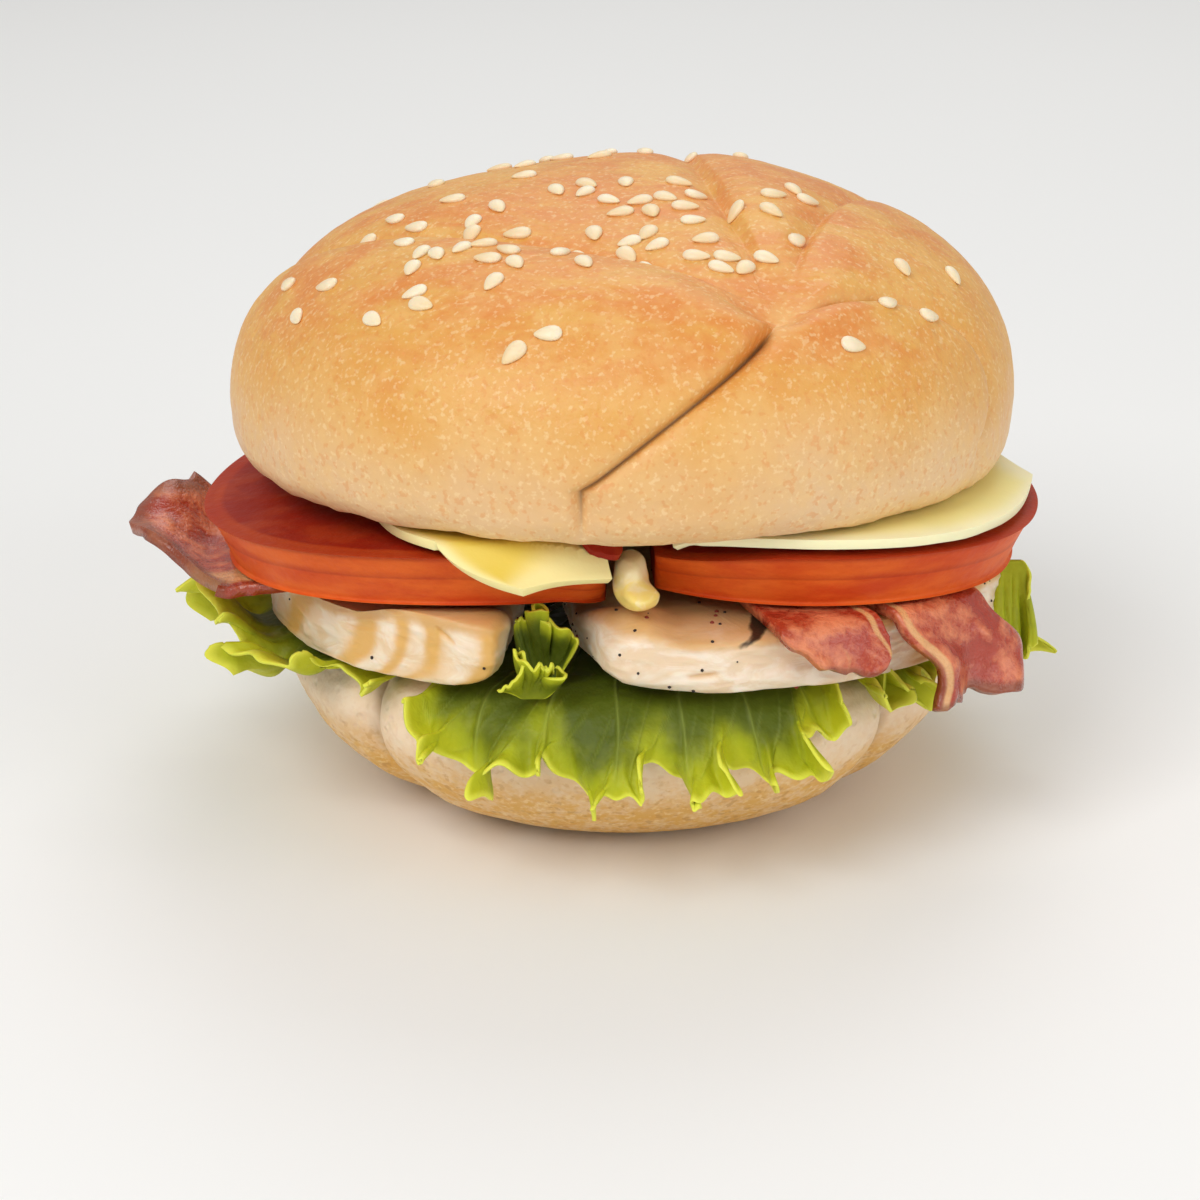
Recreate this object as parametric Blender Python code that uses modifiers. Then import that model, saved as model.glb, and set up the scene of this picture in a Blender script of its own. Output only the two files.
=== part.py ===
"""A chicken burger: grilled chicken, bacon, tomato, cheese and lettuce in a folded sesame roll.

Shapes are worked out in millimetres and turned into metres when they are finished. +Z is up, the
roll's heel rests on z = 0 at the origin, and -Y is the burger's front.
"""

import math
import random
from functools import partial

import bmesh
import bpy
from mathutils import Matrix, Vector, noise

MM = 0.001
GAP = 0.42

# Heights of the layers at the middle of the burger, and how they sag towards its sides
HEEL_TOP = 25.0
LEAF_THICKNESS = 0.8
CHICKEN_BOTTOM = 27.35
CHICKEN_TOP = 34.85
BACON_THICKNESS = 1.5
BACON_MIDDLE = 36.3
TOMATO_BOTTOM = 37.6
TOMATO_TOP = 45.0
CHEESE_THICKNESS = 1.2
CHEESE_MIDDLE = 46.6
SIDE_DROOP = 3.0
SIDE_SPAN = 52.0
BACK_SAG = 6.0

# The roll's turned outlines, from the underside's pole to the top's: radius, height
HEEL_PROFILE = (
    (0, 0), (18, 0), (27.5, 0), (36.6, 4.2), (43.8, 11.2), (46.6, 17.0), (46.0, 21.8),
    (42.4, 24.5), (28, HEEL_TOP), (0, HEEL_TOP),
)
CROWN_UNDER = ((0, 49.4), (24, 49.3), (40, 48.3), (46, 47.7), (49.8, 48.2), (51.7, 50.8), (52.2, 55.5))
CROWN_RADIUS = 52.2
CROWN_RISE = 26.0
CROWN_FULLNESS = 2.2
CROWN_EQUATOR = 0.45

# The roll's five folds meet off its middle. Each has the azimuth at which it reaches the rim, its
# depth and width, the height of the lip before it and how far the lobe beyond it is puffed. Their
# lines turn by FOLD_TWIST on the way in, most of it near the rim.
FOLD_CENTRE = (18.6, -37.0)
FOLD_TWIST = 20.0
FOLD_TURN = 0.35
FOLDS = (
    (-96.0, 3.2, 1.9, 3.0, 0.4),
    (-31.0, 2.2, 1.8, 1.4, -0.2),
    (28.0, 1.5, 3.6, 1.0, 0.2),
    (73.0, 2.0, 3.0, 1.2, -0.6),
    (170.0, 0.8, 3.6, -3.2, 1.2),
)
FOLD_CROWDING = 0.72
HEEL_CREASES = (20.0, 88.0, 158.0, 224.0, 319.0)

# Each patch of seeds: its middle and reach in plan, and how dense it is, there and elsewhere
SEED_PATCHES = (
    (-19.0, -27.0, 13.0, 14.0, 1.0), (5.0, -17.0, 12.0, 14.0, 1.0), (-43.0, -18.0, 6.0, 12.0, 0.6),
    (-4.0, 24.0, 20.0, 12.0, 0.15),
)
SEED_ELSEWHERE = 0.05
SEED_COUNT = 90
SEED_SIZE = (3.5, 2.1, 1.1)
SEED_SPACING = 2.3
SEED_REACH = 48.0
ROLL_CLEAR = 200.0

# The middle and half size, in plan, of each piece of chicken
CHICKEN_LEFT = (-31.4, -2.0, 18.6, 49.0)
CHICKEN_RIGHT = (21.2, -1.0, 29.0, 50.0)
SQUARENESS = 4.6
CHICKEN_PROFILE = (
    (0, 0), (0.6, 0), (0.88, 0.03), (0.98, 0.25), (1.0, 0.55),
    (0.985, 0.85), (0.9, 0.99), (0.68, 1), (0.35, 1), (0, 1),
)

# The right-hand rashers: azimuths of the two edges, length inside, hang, steepest angle, tongue
BACON_INNER = (-69.0, -54.0, 26.0, 6.8, 80.0, 1.0)
BACON_OUTER = (-51.0, -34.5, 26.0, 12.0, 76.0, 0.0)

# The middle, top radius and trimmed side of each slice of tomato, and how far its top dips there and
# the left slice's underside hangs
TOMATO_LEFT = (-22.5, -12.0, 32.3, -2.6)
TOMATO_RIGHT = (21.0, -12.5, 32.5, 3.6)
TOMATO_PROFILE = (
    (0, 0), (0.5, 0), (0.89, 0), (0.915, 0.08), (0.955, 0.5), (0.995, 0.92), (0.975, 1), (0.5, 1), (0, 1),
)
TOMATO_DIP = 4.2
TOMATO_LOW = 1.2

# The left slice swells towards its front right: the azimuth, how far and how broadly
TOMATO_SWELL = (-58.0, 3.5, 22.0)

# The bit's middle, half sizes and thickness, and the sauce's middle, half sizes, bottom and top
TOMATO_BIT = (-3.7, -42.7, 2.9, 2.0, 1.0)
SAUCE = (0.6, -41.0, 2.2, 6.4, 37.4, 43.6)

# Corners of the cheese slices in plan: front, outer, back, inner; and how far the front edge bows
CHEESE_LEFT = ((-12.2, -50.6), (-32.0, -30.0), (-30.0, 30.0), (-1.9, -45.2), 4.5)
CHEESE_RIGHT = ((6.0, -43.0), (53.5, -12.0), (26.0, 40.0), (-19.0, 36.0), 15.5)

# Colour and roughness of each kind of food
HEEL_FINISH = ((0.82, 0.62, 0.38), 0.7)
CROWN_FINISH = ((0.78, 0.47, 0.18), 0.55)
LETTUCE_FINISH = ((0.36, 0.56, 0.08), 0.45)
CHICKEN_FINISH = ((0.85, 0.62, 0.36), 0.6)
BACON_FINISH = ((0.52, 0.14, 0.09), 0.4)
TOMATO_FINISH = ((0.72, 0.10, 0.03), 0.3)
SAUCE_FINISH = ((0.93, 0.80, 0.50), 0.35)
CHEESE_FINISH = ((0.95, 0.68, 0.16), 0.35)


def spline(points, t):
    """The point at t, from 0 to 1, on a Catmull-Rom curve through the points."""
    place = min(max(t, 0.0), 1.0) * (len(points) - 1)
    index = min(int(place), len(points) - 2)
    part = place - index
    before, start, end, after = (
        points[min(max(index + step, 0), len(points) - 1)] for step in (-1, 0, 1, 2)
    )
    return tuple(
        0.5 * (2 * b + (c - a) * part + (2 * a - 5 * b + 4 * c - d) * part ** 2
               + (3 * b - a - 3 * c + d) * part ** 3)
        for a, b, c, d in zip(before, start, end, after)
    )


def smooth(low, high, value):
    """Rises from 0 at low to 1 at high, smoothly."""
    t = min(max((value - low) / (high - low), 0.0), 1.0)
    return t * t * (3 - 2 * t)


def mix(start, end, t):
    """The value at t, from 0 to 1, between two values."""
    return start + (end - start) * t


def droop(x):
    """How far the layers sag towards the left and right of the burger."""
    return -SIDE_DROOP * abs(x / SIDE_SPAN) ** 3


def sag(x, y):
    """How far the upper layers sag, also where no tomato holds them up at the back."""
    return droop(x) - BACK_SAG * smooth(16.0, 52.0, y)


def lumps(x, y, z, size):
    """Even noise between -1 and 1, with lumps of about the given size."""
    return noise.noise(Vector((x, y, z)) / size)


def polar(radius, azimuth):
    """The plan position at a radius and an azimuth in radians."""
    return radius * math.cos(azimuth), radius * math.sin(azimuth)


def finished(name, bm):
    """Turns a bmesh in millimetres into a smooth-shaded object in the burger's collection."""
    bm.normal_update()
    bmesh.ops.recalc_face_normals(bm, faces=bm.faces[:])
    bm.transform(Matrix.Scale(MM, 4))
    mesh = bpy.data.meshes.new(name)
    bm.to_mesh(mesh)
    bm.free()
    mesh.shade_smooth()
    part = bpy.data.objects.new(name, mesh)
    burger.objects.link(part)
    return part


def turned(name, segments, rings, place):
    """A UV sphere whose vertices are moved to place(azimuth, t), t being 0 below and 1 above."""
    bm = bmesh.new()
    bmesh.ops.create_uvsphere(bm, u_segments=segments, v_segments=rings, radius=1.0)
    for vert in bm.verts:
        azimuth = math.atan2(vert.co.y, vert.co.x)
        t = 0.5 + math.asin(min(max(vert.co.z, -1.0), 1.0)) / math.pi
        vert.co = place(azimuth, t)
    return finished(name, bm)


def sheet(name, columns, rows, thickness, place):
    """A grid moved to place(u, v), with both its faces split into the same triangles."""
    bm = bmesh.new()
    bmesh.ops.create_grid(bm, x_segments=columns, y_segments=rows, size=0.5)
    for vert in bm.verts:
        vert.co = place(vert.co.x + 0.5, vert.co.y + 0.5)
    bmesh.ops.triangulate(bm, faces=bm.faces[:])
    part = finished(name, bm)
    wall = part.modifiers.new("Thickness", "SOLIDIFY")
    wall.thickness = thickness * MM
    wall.offset = 0.0
    return part


def coloured(part, colour, roughness):
    """Gives a part its own plain material."""
    material = bpy.data.materials.new(part.name)
    material.use_nodes = True
    shader = material.node_tree.nodes["Principled BSDF"]
    shader.inputs["Base Color"].default_value = (*colour, 1.0)
    shader.inputs["Roughness"].default_value = roughness
    shader.inputs["Metallic"].default_value = 0.0
    part.data.materials.append(material)


def heel_point(azimuth, t):
    """The bottom half of the roll: a soft bowl with a flat foot and a cut face."""
    radius, z = spline(HEEL_PROFILE, t)
    x, y = polar(radius, azimuth)
    side = smooth(0.1, 0.4, t) * (1 - smooth(0.72, 0.9, t))
    swell = 0.9 * side * lumps(x, y, z, 26.0)
    for crease in HEEL_CREASES:
        away = math.remainder(azimuth - math.radians(crease), math.tau) * radius
        swell -= 2.6 * side * math.exp(-((away / 3.2) ** 2))
    stretch = 1 + swell / max(radius, 10.0)
    return x * stretch, y * stretch, max(z, 0.0) + droop(x) * smooth(0.5, 0.75, t)


def fold_height(azimuth, ring):
    """How far the crown's skin rises or falls for its folds, on a ring round their meeting."""
    height = -2.0 * math.exp(-((ring / 6.0) ** 2))
    reach = smooth(1.0, 10.0, ring)
    fade = reach * mix(1.0, 0.5, smooth(12.0, 48.0, ring))
    for index, (start, depth, broad, lip, puff) in enumerate(FOLDS):
        away = math.remainder(azimuth - math.radians(start), math.tau)
        across = abs(ring * away)
        height -= depth * fade * math.exp(-((across / broad) ** 1.3))
        if away < 0:
            rolled = smooth(0.0, 1.4, across) * math.exp(-across / 9.0)
            height += lip * rolled * (fade if lip > 0 else reach)
        width = math.radians((FOLDS[(index + 1) % len(FOLDS)][0] - start) % 360)
        share = away % math.tau / width
        if share < 1:
            height += puff * reach * math.sin(math.pi * share)
    return height


def crown_azimuth(azimuth):
    """Crowds the crown's meridians towards the folds, with one running along each of them."""
    place = azimuth % math.tau / math.tau * len(FOLDS)
    index = min(int(place), len(FOLDS) - 1)
    part = place - index
    part -= FOLD_CROWDING * math.sin(math.tau * part) / math.tau
    start = FOLDS[index][0]
    width = (FOLDS[(index + 1) % len(FOLDS)][0] - start) % 360
    return math.radians(start + width * part)


def crown_point(column, t):
    """The top half of the roll: a domed skin with folded lobes over a wavy cut face."""
    azimuth = crown_azimuth(column)
    if t < CROWN_EQUATOR:
        ring, z = spline(CROWN_UNDER, t / CROWN_EQUATOR)
        x, y = polar(ring, azimuth)
    else:
        ring = CROWN_RADIUS * math.cos((t - CROWN_EQUATOR) / (1 - CROWN_EQUATOR) * math.pi / 2)
        inner = 1 - ring / CROWN_RADIUS
        x, y = polar(ring, azimuth + math.radians(FOLD_TWIST) * inner ** FOLD_TURN)
        x, y = x + FOLD_CENTRE[0] * inner, y + FOLD_CENTRE[1] * inner
        share = min(math.hypot(x, y) / CROWN_RADIUS, 1.0)
        z = CROWN_UNDER[-1][1] + CROWN_RISE * (1 - share ** CROWN_FULLNESS) ** (1 / CROWN_FULLNESS)
    height = smooth(0.26, 0.42, t) * (fold_height(azimuth, ring) + 0.9 * lumps(x, y, z, 28.0))
    rise = smooth(46.0, 84.0, z)
    out = height * math.sqrt(1 - rise * rise) / max(math.hypot(x, y), 12.0)
    rim = 0.5 * lumps(x, y, 0.0, 9.0) * smooth(0.15, 0.3, t) * (1 - smooth(0.36, 0.5, t))
    low = sag(x, y) * (1 - 0.7 * smooth(50.0, 80.0, z))
    return x * (1 + out), y * (1 + out), z + height * rise + rim + low


def seed_density(x, y):
    """How thickly the seeds lie: dense over the left, the top and the back, few elsewhere."""
    return SEED_ELSEWHERE + max(
        share * math.exp(-(((x - middle_x) / wide) ** 2) - ((y - middle_y) / deep) ** 2)
        for middle_x, middle_y, wide, deep, share in SEED_PATCHES
    )


def seed_places():
    """Plan positions and headings of the seeds, drawn by density and kept apart."""
    draw = random.Random(7)
    places = []
    while len(places) < SEED_COUNT:
        x, y = polar(SEED_REACH * math.sqrt(draw.random()), draw.uniform(0, math.tau))
        heading = draw.uniform(0, math.pi)
        wanted = draw.random() < seed_density(x, y)
        clear = min((math.dist((x, y), place[:2]) for place in places), default=SEED_REACH)
        if wanted and clear > SEED_SPACING:
            places.append((x, y, heading))
    return places


def add_seed(crown, x, y, heading):
    """One flat seed with a blunt and a pointed end, lying a third sunk in the crown's skin."""
    _, here, normal, _ = crown.ray_cast(Vector((x, y, ROLL_CLEAR)) * MM, Vector((0, 0, -1)))
    here /= MM
    lie = normal.to_track_quat("Z", "Y").to_matrix() @ Matrix.Rotation(heading, 3, "Z")
    bm = bmesh.new()
    bmesh.ops.create_uvsphere(bm, u_segments=6, v_segments=3, radius=0.5)
    for vert in bm.verts:
        blunt = 1.0 + 0.7 * vert.co.z
        size = Vector((SEED_SIZE[0], SEED_SIZE[1] * blunt, SEED_SIZE[2] * blunt))
        vert.co = here + normal * 0.18 + lie @ (vert.co.zxy * size)
    return finished("seed", bm)


def keep_outer_body(part):
    """Drops the loose scraps and fills the sealed hollows that a union can leave."""
    bm = bmesh.new()
    bm.from_mesh(part.data)
    bodies, seen = [], set()
    for vert in bm.verts:
        if vert in seen:
            continue
        body, front = {vert}, [vert]
        while front:
            ends = {end for edge in front.pop().link_edges for end in edge.verts}
            front.extend(ends - body)
            body |= ends
        seen |= body
        bodies.append(body)
    outer = max(bodies, key=len)
    bmesh.ops.delete(bm, geom=[vert for vert in bm.verts if vert not in outer], context="VERTS")
    bm.to_mesh(part.data)
    bm.free()


def make_crown():
    """The top half of the roll, with its sesame seeds fused on in one union."""
    crown = turned("crown", 55, 18, crown_point)
    coloured(crown, *CROWN_FINISH)
    seeds = bpy.data.collections.new("seeds")
    bpy.context.scene.collection.children.link(seeds)
    bpy.context.view_layer.update()
    for x, y, heading in seed_places():
        seed = add_seed(crown, x, y, heading)
        burger.objects.unlink(seed)
        seeds.objects.link(seed)
    union = crown.modifiers.new("Seeds", "BOOLEAN")
    union.operation = "UNION"
    union.operand_type = "COLLECTION"
    union.collection = seeds
    union.solver = "MANIFOLD"
    bpy.context.view_layer.objects.active = crown
    bpy.ops.object.modifier_apply(modifier=union.name)
    for seed in list(seeds.objects):
        bpy.data.objects.remove(seed)
    bpy.data.collections.remove(seeds)
    keep_outer_body(crown)


def over_edge(edge, reach, steepest, ease):
    """Radius and fall of something that lies flat up to an edge and bends down beyond it."""
    if reach <= 0:
        return edge + reach, 0.0
    radius, fall, steps = edge, 0.0, 12
    for step in range(steps):
        slope = math.radians(steepest) * (1 - math.exp(-(step + 0.5) / steps * reach / ease))
        radius += reach / steps * math.cos(slope)
        fall += reach / steps * math.sin(slope)
    return radius, fall


def leaf_point(u, v, start, end, waves, reach, steepest):
    """A ruffled leaf lying on the heel and hanging over its edge; v runs out to the frill."""
    azimuth = math.radians(mix(start, end, u))
    ends = smooth(0.0, 0.08, u) * (1 - smooth(0.92, 1.0, u))
    side = max(-math.cos(azimuth), 0.0) ** 2
    steepest += 16.0 * max(math.cos(azimuth), 0.0) ** 2
    beat = u * waves * math.tau + 2.6 * lumps(u * waves, 5.0, 0.0, 1.7)
    teeth = 2.4 * math.sin(beat + 0.9) + 4.5 * lumps(u * waves, 0.0, 3.0, 0.9)
    length = (reach + 3.5 * side + teeth) * (0.35 + 0.65 * ends)
    along = spline(((0,), (0.42,), (0.75,), (1,)), v)[0]
    radius, fall = over_edge(43.5, mix(-29.5, length, along), steepest * (1 - 0.75 * side), 4.0)
    edge = smooth(0.6, 1.0, v) ** 1.4
    ruffle = edge * (2.5 + 1.5 * side) * math.sin(beat) * (0.4 + 0.6 * ends)
    tilt = min(fall / 9.0, 1.0)
    radius += ruffle * tilt + 0.6 * edge
    x, y = polar(radius, azimuth)
    z = HEEL_TOP + GAP + LEAF_THICKNESS / 2 + droop(x) - fall
    return x, y, z + ruffle * (1 - 0.6 * tilt) + 3.6 * side * smooth(49.0, 57.0, radius)


def lettuce_front_point(u, v):
    """The leaf that hangs over the front of the heel."""
    return leaf_point(u, v, 238, 304, 5, 11.5, 68)


def lettuce_back_point(u, v):
    """The leaf that shows at the right, round the back and at the left."""
    return leaf_point(u, v, -24, 231, 13, 10.0, 42)


def within_roll(x, y):
    """Presses a plan position in, so that the chicken stays about as wide as the roll."""
    radius = math.hypot(x, y)
    limit = chicken_reach(math.atan2(y, x))
    soft = 2.6
    over = radius - limit + soft
    if over <= 0:
        return x, y
    pressed = limit - soft + soft * (1 - math.exp(-over / soft))
    return x * pressed / radius, y * pressed / radius


def chicken_reach(azimuth):
    """How far out the chicken reaches: further at the right than elsewhere."""
    return 49.4 + 3.6 * max(math.cos(azimuth), 0.0) ** 3


def chicken_top(x, y):
    """The chicken's top: level under bacon, and up to the next layer where there is none."""
    free = smooth(-35.5, -41.0, y) * (1 - smooth(2.0, 7.0, x))
    back = smooth(6.0, 14.0, y)
    return CHICKEN_TOP + 1.7 * max(free, back) + 2.3 * smooth(12.0, 40.0, y)


def chicken_point(piece, azimuth, t):
    """A slab of chicken with a rounded, slightly lumpy edge."""
    middle_x, middle_y, half_x, half_y = piece
    share, level = spline(CHICKEN_PROFILE, t)
    share, level = min(share, 1.02), min(max(level, 0.0), 1.0)
    cos, sin = math.cos(azimuth), math.sin(azimuth)
    squared = (abs(cos) ** SQUARENESS + abs(sin) ** SQUARENESS) ** (-1 / SQUARENESS) * share
    x, y = middle_x + half_x * squared * cos, middle_y + half_y * squared * sin
    lumpy = 1.1 * lumps(x, y, level * 12, 13.0) * smooth(0.6, 1.0, share)
    x, y = within_roll(x + lumpy * cos, y + lumpy * sin)
    return x, y, mix(CHICKEN_BOTTOM, chicken_top(x, y) + 0.25 * lumps(x, y, 9.0, 14.0), level) + droop(x)


def slice_radius(piece, azimuth):
    """The radius of a slice of tomato; the left one isn't quite round."""
    start, swell, broad = TOMATO_SWELL
    away = math.remainder(math.degrees(azimuth) - start, 360.0)
    return piece[2] + (swell * math.exp(-((away / broad) ** 2)) if piece is TOMATO_LEFT else 0.0)


def tomato_point(piece, azimuth, t):
    """A slice of tomato: flat cut faces, a tapered skin, and one side trimmed and thinner."""
    middle_x, middle_y, _, trim = piece
    share, level = spline(TOMATO_PROFILE, t)
    x, y = polar(slice_radius(piece, azimuth) * share, azimuth)
    x, y = middle_x + x, middle_y + y
    inward = math.copysign(1, -middle_x)
    past = (x - trim) * inward
    if past > 0:
        x = trim + inward * past * 0.05
    dip = TOMATO_DIP * smooth(-18.0, 0.0, past) * level * (1.0 if inward > 0 else 0.4)
    dip += TOMATO_LOW * smooth(-6.5, 0.0, past) * (1 - level) * (1.0 if inward > 0 else 0.0)
    return x, y, mix(TOMATO_BOTTOM, TOMATO_TOP, level) + droop(x) - dip


def tomato_bit_point(azimuth, t):
    """The small bit of tomato that lies on the cheese, over the gap between the two slices."""
    middle_x, middle_y, half_x, half_y, thickness = TOMATO_BIT
    share, level = spline(TOMATO_PROFILE, t)
    x, y = polar(share * (1 + 0.12 * math.cos(3 * azimuth)), azimuth)
    x, y = middle_x + half_x * x, middle_y + half_y * y
    return x, y, cheese_height(x, y) + CHEESE_THICKNESS / 2 + GAP + thickness * level


def sauce_point(azimuth, t):
    """The melted lump between the tomatoes: a narrow neck above, spreading where it comes out."""
    middle_x, middle_y, half_x, half_y, bottom, top = SAUCE
    level = 0.5 - 0.5 * math.cos(t * math.pi)
    low = 1 - smooth(0.35, 0.65, level)
    x, y = polar(math.sqrt(max(math.sin(t * math.pi), 0.0)), azimuth)
    y = middle_y + half_y * mix(0.6, 1.0, low) * y * (1 + 0.1 * lumps(x, y, t * 3, 0.8))
    spread = low * smooth(-41.5, -45.0, y)
    x = middle_x + 1.0 * spread + half_x * x * (1 + 0.4 * spread)
    return x, y, mix(bottom, top, level)


def past_tomato(x, y):
    """How far a plan position lies outside the top edge of the nearer slice of tomato."""
    return min(
        math.dist((x, y), piece[:2]) - slice_radius(piece, math.atan2(y - piece[1], x - piece[0]))
        for piece in (TOMATO_LEFT, TOMATO_RIGHT)
    )


def cheese_height(x, y):
    """The height of the cheese: on the tomato, hanging past its edge and sagging between the slices."""
    past = max(past_tomato(x, y) - 1.0, 0.0) * smooth(0.0, -12.0, y)
    between = 2.2 * math.exp(-(((x + 1.0) / 7.0) ** 2)) * smooth(-28.0, -42.0, y)
    return CHEESE_MIDDLE + sag(x, y) - between - 5.6 * (1 - math.exp(-past / 3.5))


def cheese_point(piece, u, v):
    """A soft slice of cheese that lies on the tomato and hangs down past its edge."""
    front, outer, back, inner, bow = piece
    v = v ** 1.5
    x, y = (
        mix(mix(front[axis], outer[axis], u), mix(inner[axis], back[axis], u), v) for axis in (0, 1)
    )
    along = Vector(outer) - Vector(front)
    along *= math.copysign(bow * 4 * u * (1 - u) * (1 - v) ** 2, outer[0]) / along.length
    x, y = x + along.y, y - along.x
    return x, y, cheese_height(x, y)


def bacon_left_point(u, v):
    """The left rasher: flat under the tomato, then curling up outside its end."""
    tip = mix(-52.0, -65.5, smooth(0.0, 0.6, v)) + 6.0 * smooth(0.65, 1.0, v)
    x, y = mix(-15.0, tip, u), mix(-28.6, 2.0, v)
    past = math.dist((x, y), TOMATO_LEFT[:2])
    curl = (5.5 + 2.5 * v) * smooth(31.8, 41.5, past)
    wave = 0.9 * math.sin(v * 9.0 + x * 0.2) * smooth(34.0, 40.0, past)
    return x, y + 1.2 * lumps(x, 0.0, 0.0, 9.0), BACON_MIDDLE + droop(x) + curl + wave


def bacon_right_point(piece, u, v):
    """A rasher that leaves the right of the stack and hangs down over the chicken."""
    start, end, inner, hang, steepest, tongue = piece
    azimuth = math.radians(mix(start, end, v))
    length = hang * mix(1.0, math.sin(math.pi * mix(0.06, 0.84, v)), tongue)
    radius, fall = over_edge(chicken_reach(azimuth) + 1.5, mix(-inner, length, u), steepest, 1.8)
    radius += 1.4 * (math.sin(v * 8.0 + 1.0) + 0.7) * smooth(1.0, 6.0, fall)
    azimuth += 0.05 * math.sin(u * 9.0) * smooth(1.0, 6.0, fall)
    x, y = polar(radius, azimuth)
    return x, y, BACON_MIDDLE + droop(x) - fall


def make_parts():
    """Builds every piece of the burger, from the heel up."""
    coloured(turned("heel", 38, 12, heel_point), *HEEL_FINISH)
    for name, columns, rows, place in (
        ("lettuce_front", 46, 6, lettuce_front_point),
        ("lettuce_back", 70, 5, lettuce_back_point),
    ):
        coloured(sheet(name, columns, rows, LEAF_THICKNESS, place), *LETTUCE_FINISH)
    for name, segments, piece in (
        ("chicken_left", 32, CHICKEN_LEFT),
        ("chicken_right", 34, CHICKEN_RIGHT),
    ):
        coloured(turned(name, segments, 10, partial(chicken_point, piece)), *CHICKEN_FINISH)
    for name, columns, rows, place in (
        ("bacon_left", 13, 5, bacon_left_point),
        ("bacon_right_inner", 10, 5, partial(bacon_right_point, BACON_INNER)),
        ("bacon_right_outer", 12, 6, partial(bacon_right_point, BACON_OUTER)),
    ):
        coloured(sheet(name, columns, rows, BACON_THICKNESS, place), *BACON_FINISH)
    for name, piece in (("tomato_left", TOMATO_LEFT), ("tomato_right", TOMATO_RIGHT)):
        coloured(turned(name, 32, 8, partial(tomato_point, piece)), *TOMATO_FINISH)
    coloured(turned("tomato_bit", 16, 6, tomato_bit_point), *TOMATO_FINISH)
    coloured(turned("sauce", 18, 7, sauce_point), *SAUCE_FINISH)
    for name, piece in (("cheese_left", CHEESE_LEFT), ("cheese_right", CHEESE_RIGHT)):
        place = partial(cheese_point, piece)
        coloured(sheet(name, 12, 7, CHEESE_THICKNESS, place), *CHEESE_FINISH)
    make_crown()


for old in list(bpy.data.objects):
    bpy.data.objects.remove(old)
burger = bpy.data.collections.new("chicken_burger")
bpy.context.scene.collection.children.link(burger)
make_parts()
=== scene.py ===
"""A chicken burger in a folded sesame roll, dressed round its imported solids.

Each solid is remade finely from the same sizes, in millimetres, and given the surface of its food.
+Z is up, the burger stands on z = 0 and -Y is its front.
"""
import logging
import math
import random
from dataclasses import dataclass, field
from enum import Enum
from typing import Callable

import bmesh
import bpy
from mathutils import Matrix, Vector, noise


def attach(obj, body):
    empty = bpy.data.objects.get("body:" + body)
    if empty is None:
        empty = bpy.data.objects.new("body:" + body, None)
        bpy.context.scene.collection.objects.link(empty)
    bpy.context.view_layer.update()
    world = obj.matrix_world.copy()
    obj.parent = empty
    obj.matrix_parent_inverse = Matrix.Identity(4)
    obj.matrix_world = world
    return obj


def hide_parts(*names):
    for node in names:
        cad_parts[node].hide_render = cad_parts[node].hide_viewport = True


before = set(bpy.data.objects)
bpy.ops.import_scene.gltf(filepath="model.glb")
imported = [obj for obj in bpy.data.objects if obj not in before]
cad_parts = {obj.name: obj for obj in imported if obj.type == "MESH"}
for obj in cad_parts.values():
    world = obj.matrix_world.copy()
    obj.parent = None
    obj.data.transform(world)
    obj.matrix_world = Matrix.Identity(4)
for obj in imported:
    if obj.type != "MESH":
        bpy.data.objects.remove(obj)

LOG = logging.getLogger("chicken_burger")
MM = 0.001
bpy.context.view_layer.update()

Point = tuple[float, float, float]
Colour = tuple[float, float, float]
Range = tuple[float, float]
Marks = dict[str, float]
Placer = Callable[[float, float], tuple[Point, Marks]]


# Shape helpers


def smooth(low: float, high: float, value: float) -> float:
    """Rises from 0 at low to 1 at high, smoothly."""
    t = min(max((value - low) / (high - low), 0.0), 1.0)
    return t * t * (3 - 2 * t)


def mix(start: float, end: float, t: float) -> float:
    """The value at t, from 0 to 1, between two values."""
    return start + (end - start) * t


def bump(away: float, width: float) -> float:
    """A soft hill that is 1 where away is 0 and fades over the width."""
    return math.exp(-((away / width) ** 2))


def lumps(x: float, y: float, z: float, size: float) -> float:
    """Even noise between -1 and 1, with lumps of about the given size in millimetres."""
    return noise.noise(Vector((x, y, z)) / size)


@dataclass(frozen=True)
class Hill:
    """A soft ridge or groove, by its height and its width in millimetres."""

    height: float
    width: float

    def at(self, away: float) -> float:
        """Its height at a distance from its middle."""
        return self.height * bump(away, self.width)


@dataclass(frozen=True)
class Grain:
    """The unevenness of a surface, by the height and the width of its lumps in millimetres."""

    height: float
    width: float

    def at(self, x: float, y: float, z: float) -> float:
        """How far it raises the surface at a place."""
        return self.height * lumps(x, y, z, self.width)


def polar(radius: float, azimuth: float) -> tuple[float, float]:
    """The plan position at a radius and an azimuth in radians."""
    return radius * math.cos(azimuth), radius * math.sin(azimuth)


def spline(points: tuple[tuple[float, ...], ...], t: float) -> tuple[float, ...]:
    """Finds a point on a Catmull-Rom curve.

    Args:
        points: The points that the curve passes through.
        t: How far along the curve, from 0 to 1.

    Returns:
        The point at t.
    """
    place = min(max(t, 0.0), 1.0) * (len(points) - 1)
    index = min(int(place), len(points) - 2)
    part = place - index
    before, start, end, after = (
        points[min(max(index + step, 0), len(points) - 1)] for step in (-1, 0, 1, 2)
    )
    return tuple(
        0.5 * (2 * b + (c - a) * part + (2 * a - 5 * b + 4 * c - d) * part ** 2
               + (3 * b - a - 3 * c + d) * part ** 3)
        for a, b, c, d in zip(before, start, end, after)
    )


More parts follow.
